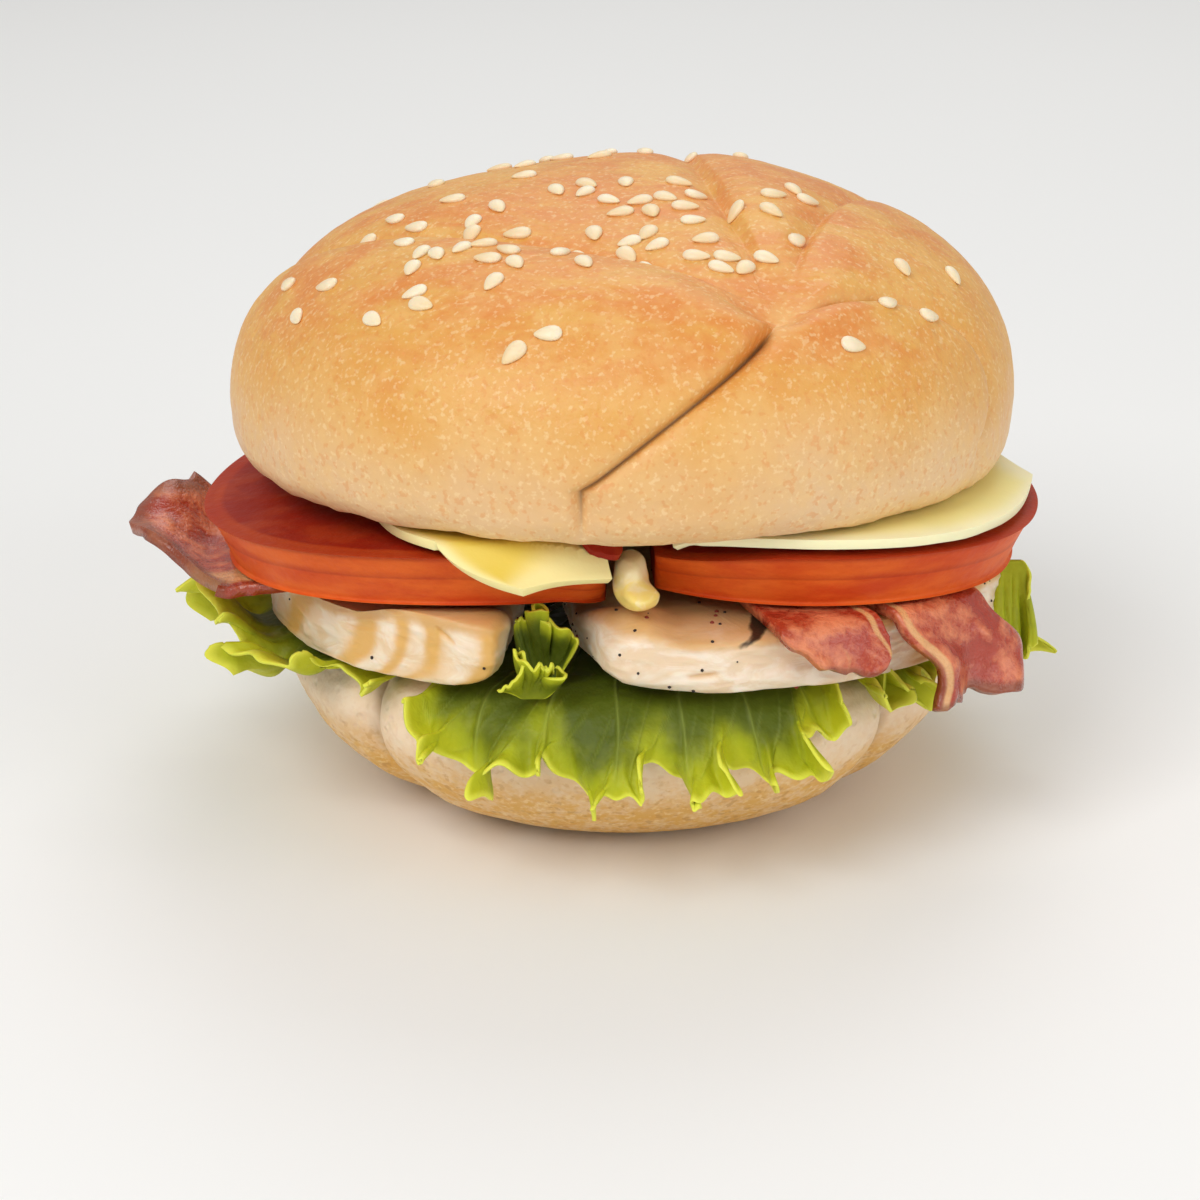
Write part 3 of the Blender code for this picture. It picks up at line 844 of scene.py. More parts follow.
@dataclass(frozen=True)
class CheeseFinish(Finish):
    """Sliced cheese: bright yellow with cream edges."""

    body: Colour = (0.80, 0.60, 0.09)
    edge: Colour = (0.94, 0.82, 0.38)
    borders: Cloud = Cloud(70.0)
    border_wander: float = 0.25
    edge_span: Range = (0.20, 1.10)
    least_rough: float = 0.34
    patch_rough: float = 0.2
    patches: Cloud = Cloud(240.0)
    grain: Cloud = Cloud(500.0, 3.0)
    relief_mm: float = 0.08

    def paint(self, nodes: Nodes, shader: bpy.types.Node) -> None:
        """Paints the slice, paler near its edges."""
        near = nodes.plus(nodes.mark("edge"), nodes.cloud(self.borders), self.border_wander)
        base = nodes.blend(nodes.span(near, *self.edge_span), self.body, self.edge)
        nodes.give(shader.inputs["Base Color"], base)
        gloss = nodes.plus(self.least_rough, nodes.cloud(self.patches), self.patch_rough)
        nodes.give(shader.inputs["Roughness"], gloss)
        self.relief(nodes, shader, nodes.cloud(self.grain), self.relief_mm)


@dataclass(frozen=True)
class SauceFinish(Finish):
    """Melted cheese sauce: cream and yellow, glossy."""

    cream: Colour = (0.94, 0.79, 0.46)
    yellow: Colour = (0.90, 0.70, 0.20)
    swirls: Cloud = Cloud(300.0, 3.0, 0.5, (1, 1, 1), 1.5)
    swirl_height: float = 0.008
    cream_heights: Range = (0.0395, 0.0420)
    grain: Cloud = Cloud(700.0, 2.0)
    relief_mm: float = 0.12

    def paint(self, nodes: Nodes, shader: bpy.types.Node) -> None:
        """Paints the yellow lump, the cream neck above it and soft swirls of both."""
        level = nodes.plus(nodes.height(), nodes.uneven(self.swirls), self.swirl_height)
        base = nodes.blend(nodes.span(level, *self.cream_heights), self.yellow, self.cream)
        nodes.give(shader.inputs["Base Color"], base)
        self.relief(nodes, shader, nodes.cloud(self.grain), self.relief_mm)


# The burger's layers


@dataclass
class Stack:
    """Heights of the layers at the middle of the burger, and how they sag outwards."""

    gap: float = 0.42
    heel_top: float = 25.0
    leaf: float = 0.8
    chicken_bottom: float = 27.35
    chicken_top: float = 34.85
    bacon: float = 1.5
    bacon_middle: float = 36.3
    tomato_bottom: float = 37.6
    tomato_top: float = 45.0
    cheese: float = 1.2
    cheese_middle: float = 46.6
    side_droop: float = 3.0
    side_span: float = 52.0
    back_sag: float = 6.0
    sagging_depths: Range = (16.0, 52.0)
    chicken_radius: float = 49.4
    chicken_right: float = 3.6
    cheese_past: float = 1.0
    cheese_fall: float = 5.6
    cheese_ease: float = 3.5
    cheese_dip: Hill = Hill(2.2, 7.0)
    cheese_dip_x: float = -1.0
    cheese_dip_depths: Range = (-28.0, -42.0)
    cheese_free_depths: Range = (0.0, -12.0)

    def droop(self, x: float) -> float:
        """How far the layers sag towards the left and right."""
        return -self.side_droop * abs(x / self.side_span) ** 3

    def sag(self, x: float, y: float) -> float:
        """How far the upper layers sag, also at the back."""
        return self.droop(x) - self.back_sag * smooth(*self.sagging_depths, y)

    def chicken_reach(self, azimuth: float) -> float:
        """How far out the chicken reaches: further at the right than elsewhere."""
        return self.chicken_radius + self.chicken_right * max(math.cos(azimuth), 0.0) ** 3


STACK = Stack()


@dataclass(frozen=True)
class SliceOutline:
    """The top outline of a slice of tomato: a circle that may swell towards one side."""

    middle: tuple[float, float]
    radius: float
    swell: float = 0.0
    swell_at: float = -58.0
    swell_width: float = 22.0

    def edge(self, azimuth: float) -> float:
        """The radius at an azimuth in radians."""
        away = math.remainder(math.degrees(azimuth) - self.swell_at, 360.0)
        return self.radius + self.swell * bump(away, self.swell_width)

    def past(self, x: float, y: float) -> float:
        """How far a plan position lies outside the outline."""
        x, y = x - self.middle[0], y - self.middle[1]
        return math.hypot(x, y) - self.edge(math.atan2(y, x))


LEFT_SLICE = SliceOutline((-22.5, -12.0), 32.3, 3.5)
RIGHT_SLICE = SliceOutline((21.0, -12.5), 32.5)


def cheese_height(x: float, y: float) -> float:
    """The height of the cheese: on the tomato, hanging past its edge and sagging between the slices."""
    past = min(LEFT_SLICE.past(x, y), RIGHT_SLICE.past(x, y))
    past = max(past - STACK.cheese_past, 0.0) * smooth(*STACK.cheese_free_depths, y)
    between = STACK.cheese_dip.at(x - STACK.cheese_dip_x) * smooth(*STACK.cheese_dip_depths, y)
    hang = STACK.cheese_fall * (1 - math.exp(-past / STACK.cheese_ease))
    return STACK.cheese_middle + STACK.sag(x, y) - between - hang


@dataclass
class Food:
    """One piece of the burger that replaces its plain solid."""

    node: str
    slot: str
    finish: Finish

    def build(self) -> bpy.types.Object:
        """Makes the fine mesh; each food does this its own way."""
        raise NotImplementedError

    def make(self) -> list[bpy.types.Object]:
        """Builds, dresses and places the piece.

        Returns:
            The finished objects.
        """
        piece = self.build()
        self.dress(piece, self.finish)
        return [piece]

    def dress(self, piece: bpy.types.Object, finish: Finish) -> None:
        """Gives an object its material and ties it to the frame.

        Args:
            piece: The object.
            finish: The surface that it gets.
        """
        made = bpy.data.materials.get(finish.name) or finish.material()
        piece.data.materials.clear()
        piece.data.materials.append(made)
        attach(piece, "root")
        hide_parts(self.node)
        LOG.info("%s: %d vertices, %s", piece.name, len(piece.data.vertices), finish.name)


@dataclass
class Heel(Food):
    """The bottom half of the roll: a soft bowl with a flat foot and a cut face."""

    profile: tuple[tuple[float, float], ...] = (
        (0, 0), (18, 0), (27.5, 0), (36.6, 4.2), (43.8, 11.2), (46.6, 17.0), (46.0, 21.8),
        (42.4, 24.5), (28, 25.0), (0, 25.0),
    )
    creases: tuple[float, ...] = (20.0, 88.0, 158.0, 224.0, 319.0)
    crease_wander: Grain = Grain(1.2, 6.0)
    groove: Hill = Hill(2.6, 3.2)
    slit: Hill = Hill(0.7, 0.7)
    # Width of the painted shade line in each crease's slit.
    slit_shade_width: float = 0.6
    swelling: Grain = Grain(0.9, 26.0)
    lumpy: Grain = Grain(0.22, 5.0)
    crumbly: Grain = Grain(0.12, 1.8)
    wrinkles: Grain = Grain(0.25, 1.6)
    wrinkled_heights: Range = (15.0, 21.0)
    cut_crumb: Grain = Grain(0.25, 2.2)

    def build(self) -> bpy.types.Object:
        """Turns the profile into the fine mesh."""
        return turned("roll_bottom", columns=260, rings=120, place=self.place)

    def place(self, azimuth: float, t: float) -> tuple[Point, Marks]:
        """Places one point of the heel.

        Args:
            azimuth: Direction from the middle, in radians.
            t: 0 under the foot and 1 at the middle of the cut face.

        Returns:
            The point, and how near the slit of a crease it is, which is painted dark as shade.
        """
        radius, z = spline(self.profile, t)
        x, y = polar(radius, azimuth)
        side = smooth(0.1, 0.4, t) * (1 - smooth(0.72, 0.9, t))
        swell = side * self.swelling.at(x, y, z)
        line = 0.0
        for crease in self.creases:
            wander = self.crease_wander.at(z, crease, 0.0)
            away = math.remainder(azimuth - math.radians(crease), math.tau) * radius + wander
            swell -= side * (self.groove.at(away) + self.slit.at(away))
            # Painted shade along the slit of each crease.
            line = max(line, side * bump(away, self.slit_shade_width))
        wall = smooth(0.12, 0.3, t)
        swell += wall * (self.lumpy.at(x, y, z) + self.crumbly.at(x, y, z))
        wrinkle = smooth(*self.wrinkled_heights, z) * side * self.wrinkles.at(azimuth * 40.0, 0.0, z * 0.3)
        stretch = 1 + (swell + wrinkle) / max(radius, 10.0)
        crumb = smooth(0.86, 0.95, t) * self.cut_crumb.at(x, y, 3.0)
        z = max(z, 0.0) + STACK.droop(x) * smooth(0.5, 0.75, t) - abs(crumb)
        return (x * stretch, y * stretch, max(z, 0.0)), {"crease": line}


@dataclass(frozen=True)
class Fold:
    """One fold of the crown, from the rim at an azimuth in degrees to where they all meet."""

    azimuth: float
    depth: float
    width: float
    lip: float
    puff: float
    # Depth of the fold's crack, which also sets the strength of its painted shade line and painted lip
    # highlight.
    shaded_crack: float = 0.0


@dataclass
class Crown(Food):
    """The top half of the roll: five overlapping lobes that fold in to one point, with seeds."""

    seed_finish: Finish = field(default_factory=lambda: SeedFinish("sesame_seed", 0.4, 0.15, 0.001))
    under: tuple[tuple[float, float], ...] = (
        (0, 49.4), (24, 49.3), (40, 48.3), (46, 47.7), (49.8, 48.2), (51.7, 50.8), (52.2, 55.5),
    )
    radius: float = 52.2
    rise: float = 26.0
    fullness: float = 2.2
    equator: float = 0.45
    fold_centre: tuple[float, float] = (18.6, -37.0)
    fold_twist: float = 20.0
    fold_turn: float = 0.35
    folds: tuple[Fold, ...] = (
        Fold(-96.0, 2.0, 1.7, 2.3, 0.4, 1.0),
        Fold(-31.0, 1.7, 1.8, 1.2, -0.2, 0.75),
        Fold(28.0, 1.5, 3.6, 1.0, 0.2),
        Fold(73.0, 2.0, 3.0, 1.2, -0.6),
        Fold(170.0, 0.8, 3.6, -3.2, 1.2),
    )
    crowding: float = 0.72
    patches: tuple[tuple[float, float, float, float, float], ...] = (
        (-19.0, -27.0, 13.0, 14.0, 1.0), (5.0, -17.0, 12.0, 14.0, 1.0), (-43.0, -18.0, 6.0, 12.0, 0.6),
        (-4.0, 24.0, 20.0, 12.0, 0.15),
    )
    seed_count: int = 90
    seed_size: Point = (3.5, 2.1, 1.1)
    seed_spacing: float = 2.3
    seeds_elsewhere: float = 0.05
    seed_reach: float = 48.0
    seed_lift: float = 0.2
    seed_variation: float = 0.06
    seed_draw: int = 3
    place_draw: int = 7
    above: float = 200.0
    dimple: Hill = Hill(2.0, 6.0)
    folds_grow: Range = (1.0, 15.0)
    folds_fade: Range = (12.0, 48.0)
    rim_share: float = 0.5
    fold_sharpness: float = 1.3
    cracks_grow: Range = (5.0, 17.0)
    crack_cut: Hill = Hill(0.3, 0.4)
    # Width of the painted shade line along each crack.
    crack_shade_width: float = 0.30
    roll_over: float = 1.4
    roll_length: float = 9.0
    # Where the painted lip highlight fades out, and its width.
    lip_highlight_fade: Range = (8.0, 38.0)
    lip_highlight_width: float = 3.0
    swelling: Grain = Grain(0.9, 28.0)
    lumpy: Grain = Grain(0.10, 4.5)
    crumbly: Grain = Grain(0.05, 1.7)
    steep_heights: Range = (46.0, 84.0)
    torn_wide: Grain = Grain(0.5, 9.0)
    torn_fine: Grain = Grain(0.3, 2.6)
    level_heights: Range = (50.0, 80.0)
    levelled: float = 0.7

    def build(self) -> bpy.types.Object:
        """Turns the lobed skin into the fine mesh."""
        return turned("roll_top", columns=300, rings=150, place=self.place)

    def make(self) -> list[bpy.types.Object]:
        """Builds the skin and lays the seeds on it.

        Returns:
            The skin and the seeds.
        """
        skin = self.build()
        self.dress(skin, self.finish)
        seeds = self.lay_seeds(skin)
        self.dress(seeds, self.seed_finish)
        return [skin, seeds]

    def fold_shape(self, azimuth: float, ring: float) -> tuple[float, float, float]:
        """How the folds raise and lower the skin.

        Args:
            azimuth: Direction of the meridian, in radians.
            ring: Radius of the ring round the folds' meeting point.

        Returns:
            The height, how near the painted shade of a crack the point is, and how near a painted lip
            highlight.
        """
        height = -self.dimple.at(ring)
        reach = smooth(*self.folds_grow, ring)
        fade = reach * mix(1.0, self.rim_share, smooth(*self.folds_fade, ring))
        line = painted_lip_highlight = 0.0
        for index, fold in enumerate(self.folds):
            away = math.remainder(azimuth - math.radians(fold.azimuth), math.tau)
            across = abs(ring * away)
            height -= fold.depth * fade * math.exp(-((across / fold.width) ** self.fold_sharpness))
            cracked = fold.shaded_crack * smooth(*self.cracks_grow, ring)
            height -= cracked * self.crack_cut.at(across)
            # Painted shade: a dark line along the crack.
            line = max(line, cracked * bump(across, self.crack_shade_width))
            if away < 0:
                rolled = smooth(0.0, self.roll_over, across) * math.exp(-across / self.roll_length)
                height += fold.lip * rolled * (fade if fold.lip > 0 else reach)
            else:
                # Painted highlight: a pale band beside the crack, on the side away from the raised lip.
                pale = fold.shaded_crack * (1 - smooth(*self.lip_highlight_fade, ring))
                painted_lip_highlight = max(painted_lip_highlight, pale * bump(across, self.lip_highlight_width))
            width = math.radians((self.folds[(index + 1) % len(self.folds)].azimuth - fold.azimuth) % 360)
            share = away % math.tau / width
            if share < 1:
                height += fold.puff * reach * math.sin(math.pi * share)
        return height, line, painted_lip_highlight

    def meridian(self, column: float) -> float:
        """Crowds the meridians towards the folds, with one along each of them."""
        place = column % math.tau / math.tau * len(self.folds)
        index = min(int(place), len(self.folds) - 1)
        part = place - index
        part -= self.crowding * math.sin(math.tau * part) / math.tau
        start = self.folds[index].azimuth
        width = (self.folds[(index + 1) % len(self.folds)].azimuth - start) % 360
        return math.radians(start + width * part)

    def place(self, column: float, t: float) -> tuple[Point, Marks]:
        """Places one point of the crown.

        Args:
            column: Evenly spaced direction, in radians.
            t: 0 at the middle of the cut face and 1 where the folds meet.

        Returns:
            The point, and its marks for the painted shade in the fold cracks and the painted lip highlights.
        """
        azimuth = self.meridian(column)
        if t < self.equator:
            ring, z = spline(self.under, t / self.equator)
            x, y = polar(ring, azimuth)
        else:
            ring = self.radius * math.cos((t - self.equator) / (1 - self.equator) * math.pi / 2)
            inner = 1 - ring / self.radius
            x, y = polar(ring, azimuth + math.radians(self.fold_twist) * inner ** self.fold_turn)
            x, y = x + self.fold_centre[0] * inner, y + self.fold_centre[1] * inner
            share = min(math.hypot(x, y) / self.radius, 1.0)
            z = self.under[-1][1] + self.rise * (1 - share ** self.fullness) ** (1 / self.fullness)
        skin = smooth(0.26, 0.42, t)
        folded, line, lip = self.fold_shape(azimuth, ring)
        fine = self.lumpy.at(x, y, z) + self.crumbly.at(x, y, z)
        height = skin * (folded + self.swelling.at(x, y, z) + fine)
        steep = smooth(*self.steep_heights, z)
        out = height * math.sqrt(1 - steep * steep) / max(math.hypot(x, y), 12.0)
        torn = self.torn_wide.at(x, y, 0.0) + self.torn_fine.at(x, y, 5.0)
        rim = torn * smooth(0.15, 0.3, t) * (1 - smooth(0.36, 0.5, t))
        low = STACK.sag(x, y) * (1 - self.levelled * smooth(*self.level_heights, z))
        point = (x * (1 + out), y * (1 + out), z + height * steep + rim + low)
        # The fold mark is painted shade in the cracks, and the lip mark is a painted highlight.
        return point, {"fold": line * skin * smooth(0.36, 0.5, t), "lip": lip * skin}

    def seed_density(self, x: float, y: float) -> float:
        """How thickly the seeds lie at a plan position."""
        return self.seeds_elsewhere + max(
            share * math.exp(-(((x - middle_x) / wide) ** 2) - ((y - middle_y) / deep) ** 2)
            for middle_x, middle_y, wide, deep, share in self.patches
        )

    def seed_places(self) -> list[tuple[float, float, float]]:
        """Draws the seeds by density and keeps them apart.

        Returns:
            A plan position and heading for each seed.
        """
        draw = random.Random(self.place_draw)
        places: list[tuple[float, float, float]] = []
        while len(places) < self.seed_count:
            x, y = polar(self.seed_reach * math.sqrt(draw.random()), draw.uniform(0, math.tau))
            heading = draw.uniform(0, math.pi)
            wanted = draw.random() < self.seed_density(x, y)
            clear = min((math.dist((x, y), place[:2]) for place in places), default=self.seed_reach)
            if wanted and clear > self.seed_spacing:
                places.append((x, y, heading))
        return places

    def lay_seeds(self, skin: bpy.types.Object) -> bpy.types.Object:
        """Lays a seed at each place with Geometry Nodes and makes them one mesh.

        Args:
            skin: The finished crown, which the seeds lie on.

        Returns:
            All the seeds as one object.
        """
        bpy.context.view_layer.update()
        spots, turns = [], []
        for x, y, heading in self.seed_places():
            _, here, normal, _ = skin.ray_cast(Vector((x, y, self.above)) * MM, Vector((0, 0, -1)))
            lie = normal.to_track_quat("Z", "Y").to_matrix() @ Matrix.Rotation(heading, 3, "Z")
            spots.append(here + normal * self.seed_lift * MM)
            turns.extend(lie.to_euler())
        mesh = bpy.data.meshes.new("seed_spots")
        mesh.from_pydata(spots, [], [])
        mesh.attributes.new("turn", "FLOAT_VECTOR", "POINT").data.foreach_set("vector", turns)
        holder = bpy.data.objects.new("sesame_seeds", mesh)
        bpy.context.scene.collection.objects.link(holder)
        material = self.seed_finish.material()
        tree = SeedTree(self.seed_variation, self.seed_draw, self.seed_size).build(material)
        return tree.bake(holder)


@dataclass
class GrownTree:
    """A Geometry Nodes tree with named inputs, ready to be put on an object."""

    group: bpy.types.NodeTree
    values: dict[str, object]

    def bake(self, holder: bpy.types.Object) -> bpy.types.Object:
        """Runs the tree on an object and turns the result into its plain mesh.

        Args:
            holder: The object that carries the points.

        Returns:
            The same object with a plain mesh and no modifier.
        """
        modifier = holder.modifiers.new("Grow", "NODES")
        modifier.node_group = self.group
        for item in self.group.interface.items_tree:
            if item.item_type == "SOCKET" and item.in_out == "INPUT" and item.name in self.values:
                modifier[item.identifier] = self.values[item.name]
        depsgraph = bpy.context.evaluated_depsgraph_get()
        mesh = bpy.data.meshes.new_from_object(
            holder.evaluated_get(depsgraph), preserve_all_data_layers=True, depsgraph=depsgraph
        )
        holder.modifiers.remove(modifier)
        mesh.name = holder.name
        mesh.shade_smooth()
        holder.data = mesh
        return holder


@dataclass
class Scatter:
    """Geometry Nodes that set a small shape on points, each with its own size and tint."""

    variation: float
    seed: int

    def start(self, name: str, numbers: tuple[str, ...]) -> None:
        """Starts the tree with its inputs.

        Args:
            name: Name of the tree.
            numbers: Names of the number inputs.
        """
        self.group = bpy.data.node_groups.new(name, "GeometryNodeTree")
        face = self.group.interface
        face.new_socket("Geometry", in_out="INPUT", socket_type="NodeSocketGeometry")
        for number in (*numbers, "Variation"):
            face.new_socket(number, in_out="INPUT", socket_type="NodeSocketFloat")
        face.new_socket("Seed", in_out="INPUT", socket_type="NodeSocketInt")
        face.new_socket("Geometry", in_out="OUTPUT", socket_type="NodeSocketGeometry")
        self.nodes = Nodes(self.group)
        self.given = self.nodes.add("NodeGroupInput")

    def number(self, name: str) -> bpy.types.NodeSocket:
        """A named input of the tree."""
        return self.given.outputs[name]

    def lay(self, points: bpy.types.NodeSocket, shape: bpy.types.NodeSocket,
            turn: bpy.types.NodeSocket, material: bpy.types.Material) -> None:
        """Sets the shape on the points, realizes it and gives it its material.

        Args:
            points: Where the shapes go.
            shape: The shape.
            turn: How each one is turned.
            material: The material of all of them.
        """
        scale = self.nodes.add("FunctionNodeRandomValue", {
            2: self.nodes.math("SUBTRACT", 1.0, self.number("Variation")),
            3: self.nodes.math("ADD", 1.0, self.number("Variation")), "Seed": self.number("Seed"),
        })
        laid = self.nodes.add("GeometryNodeInstanceOnPoints", {
            "Points": points, "Instance": shape, "Rotation": turn, "Scale": scale.outputs[1],
        })
        shade = self.nodes.add("FunctionNodeRandomValue", {"Seed": self.number("Seed")})
        tint = self.nodes.add("GeometryNodeStoreNamedAttribute", {
            "Geometry": laid.outputs[0], "Name": "tint", "Value": shade.outputs[1],
        }, domain="INSTANCE")
        real = self.nodes.add("GeometryNodeRealizeInstances", {0: tint.outputs[0]})
        painted = self.nodes.add("GeometryNodeSetMaterial", {
            "Geometry": real.outputs[0], "Material": material,
        })
        self.nodes.add("NodeGroupOutput", {0: painted.outputs[0]})


@dataclass
class SeedTree(Scatter):
    """Geometry Nodes that set a teardrop seed on every point of a mesh."""

    size: Point = (3.5, 2.1, 1.1)
    taper: float = 0.7

    def build(self, material: bpy.types.Material) -> GrownTree:
        """Builds the tree.

        Args:
            material: The seeds' material.

        Returns:
            The tree with its values.
        """
        self.start("seed_layer", ("Length", "Width", "Thickness", "Taper"))
        ball = self.nodes.add("GeometryNodeMeshUVSphere", {"Segments": 14, "Rings": 9, "Radius": 0.5})
        where = self.nodes.add("GeometryNodeInputPosition").outputs[0]
        x, y, z = self.nodes.add("ShaderNodeSeparateXYZ", {0: where}).outputs
        blunt = self.nodes.math("ADD", 1.0, self.nodes.math("MULTIPLY", z, self.number("Taper")))
        shaped = self.nodes.add("ShaderNodeCombineXYZ", {
            0: self.nodes.math("MULTIPLY", z, self.number("Length")),
            1: self.nodes.math("MULTIPLY", self.nodes.math("MULTIPLY", x, self.number("Width")), blunt),
            2: self.nodes.math("MULTIPLY", self.nodes.math("MULTIPLY", y, self.number("Thickness")), blunt),
        })
        marked = self.nodes.add("GeometryNodeStoreNamedAttribute", {
            "Geometry": ball.outputs["Mesh"], "Name": "point", "Value": self.nodes.math("SUBTRACT", 0.5, z),
        })
        seed = self.nodes.add("GeometryNodeSetPosition", {
            "Geometry": marked.outputs[0], "Position": shaped.outputs[0],
        })
        points = self.nodes.add("GeometryNodeMeshToPoints", {"Mesh": self.number("Geometry")})
        turn = self.nodes.add("GeometryNodeInputNamedAttribute", {"Name": "turn"}, data_type="FLOAT_VECTOR")
        self.lay(points.outputs[0], seed.outputs[0], turn.outputs["Attribute"], material)
        length, width, thickness = (side * MM for side in self.size)
        return GrownTree(self.group, {
            "Length": length, "Width": width, "Thickness": thickness, "Taper": self.taper,
            "Variation": self.variation, "Seed": self.seed,
        })


@dataclass
class PepperTree(Scatter):
    """Geometry Nodes that scatter small grains over the faces of a mesh."""

    size: float = 0.42
    per_square_mm: float = 0.02

    def build(self, material: bpy.types.Material) -> GrownTree:
        """Builds the tree.

        Args:
            material: The grains' material.

        Returns:
            The tree with its values.
        """
        self.start("pepper_layer", ("Size", "Density"))
        spread = self.nodes.add("GeometryNodeDistributePointsOnFaces", {
            "Mesh": self.number("Geometry"), "Density": self.number("Density"), "Seed": self.number("Seed"),
        })
        grain = self.nodes.add("GeometryNodeMeshIcoSphere", {
            "Radius": self.nodes.math("MULTIPLY", self.number("Size"), 0.5), "Subdivisions": 1,
        })
        self.lay(spread.outputs["Points"], grain.outputs["Mesh"], spread.outputs["Rotation"], material)
        return GrownTree(self.group, {
            "Size": self.size * MM, "Density": self.per_square_mm / MM ** 2,
            "Variation": self.variation, "Seed": self.seed,
        })


@dataclass
class Lettuce(Food):
    """A ruffled leaf that lies on the heel and hangs over its edge in frills."""

    name: str = "leaf"
    start: float = 0.0
    end: float = 90.0
    waves: float = 5.0
    reach: float = 11.0
    steepest: float = 60.0
    columns: int = 420
    rows: int = 44
    flatness: float = 0.0
    thickness: float = 0.45
    edge: float = 43.5
    inside: float = 29.5
    ease: float = 4.0
    spacing: tuple[tuple[float], ...] = ((0,), (0.42,), (0.75,), (1,))
    end_share: float = 0.35
    beat_drift: Grain = Grain(2.6, 1.7)
    tooth: float = 2.4
    tooth_drift: Grain = Grain(3.0, 1.1)
    frill_beats: float = 2.1
    frill_drift: Grain = Grain(2.4, 0.7)
    serration: float = 0.4
    serration_drift: Grain = Grain(0.9, 1.0)
    scallop: float = 1.2
    ruffle: float = 2.1
    side_ruffle: float = 1.2
    frill: float = 2.4
    small_frill: float = 0.9
    side_reach: float = 3.5
    right_steeper: float = 16.0
    left_flatter: float = 0.75
    left_lift: float = 6.0
    lifted_radii: Range = (49.5, 57.0)
    crinkle: Grain = Grain(0.35, 1.0)
    vein_beats: float = 1.3
    vein_drift: Grain = Grain(0.10, 1.2)
    vein_width: float = 0.035
    branch_width: float = 0.07

    def build(self) -> bpy.types.Object:
        """Turns the leaf's rule into a thin fine mesh."""
        return sheet(self.name, self.columns, self.rows, self.thickness, self.place)

    def place(self, u: float, v: float) -> tuple[Point, Marks]:
        """Places one point of the leaf.

        Args:
            u: Along the frill.
            v: From the inside to the frill.

        Returns:
            The point, its reach towards the frill and how near a vein it is.
        """
        v = 1 - (1 - v) ** 1.5
        azimuth = math.radians(mix(self.start, self.end, u))
        ends = smooth(0.0, 0.08, u) * (1 - smooth(0.92, 1.0, u))
        side = max(-math.cos(azimuth), 0.0) ** 2
        steepest = self.steepest + self.right_steeper * max(math.cos(azimuth), 0.0) ** 2
        wave = u * self.waves
        beat = wave * math.tau + self.beat_drift.at(wave, 5.0, 0.0)
        teeth = self.tooth * math.sin(beat + 0.9) + self.tooth_drift.at(wave, 0.0, 3.0)
        plain = self.flatness * bump(math.remainder(math.degrees(azimuth) + 90.0, 360.0), 12.0)
        frill_beat = beat * self.frill_beats + self.frill_drift.at(wave, 9.0, 0.0)
        serrated = self.serration * math.sin(frill_beat * 3.7) + self.serration_drift.at(wave * 7.0, 2.0, 0.0)
        length = (self.reach + self.side_reach * side + teeth) * mix(self.end_share, 1.0, ends)
        length += smooth(0.7, 1.0, v) * (serrated + self.scallop * math.sin(frill_beat + 1.2))
        along = spline(self.spacing, v)[0]
        steepest *= 1 - self.left_flatter * side
        radius, fall = over_edge(self.edge, mix(-self.inside, length, along), steepest, self.ease)
        edge = smooth(0.6, 1.0, v) ** 1.4
        frill = smooth(mix(0.70, 0.86, plain), 1.0, v) ** 1.3 * (0.4 + 0.6 * ends) * (1 - 0.35 * plain)
        ruffle = edge * (self.ruffle + self.side_ruffle * side) * math.sin(beat) * (0.4 + 0.6 * ends)
        ruffle += frill * self.frill * math.sin(frill_beat)
        ruffle += frill * self.small_frill * math.sin(frill_beat * 2.3 + 1.0)
        tilt = min(fall / 9.0, 1.0)
        curl = smooth(0.84, 1.0, v) ** 1.5 * (1 - 0.5 * plain)
        out = ruffle * tilt + 0.8 * edge + curl * (1.2 + 0.8 * math.sin(beat * 0.7))
        out += frill * self.crinkle.at(wave * 11.0, v * 3.0, 0.0)
        azimuth += frill * 2.0 * math.cos(frill_beat + 0.4) / radius
        x, y = polar(radius + out, azimuth)
        z = STACK.heel_top + STACK.gap + STACK.leaf / 2 + STACK.droop(x) - fall
        z += ruffle * (1 - 0.6 * tilt) + 1.2 * curl
        z += self.left_lift * side * smooth(*self.lifted_radii, radius + out)
        return (x, y, z), {"reach": v + 0.5 * frill * (1 - v), "vein": self.vein(u, v)}

    def vein(self, u: float, v: float) -> float:
        """How near a point lies to a vein: few main ones, which branch towards the frill."""
        ray = u * self.waves * self.vein_beats + self.vein_drift.at(v * 4.0, u * self.waves, 0.0)
        main = bump(math.remainder(ray, 1.0), self.vein_width) * (1 - smooth(0.80, 0.97, v))
        branch = bump(math.remainder(ray * 3.0 + v * 5.0, 1.0), self.branch_width) * smooth(0.6, 0.75, v)
        return max(main, 0.5 * branch * (1 - smooth(0.85, 0.97, v)))


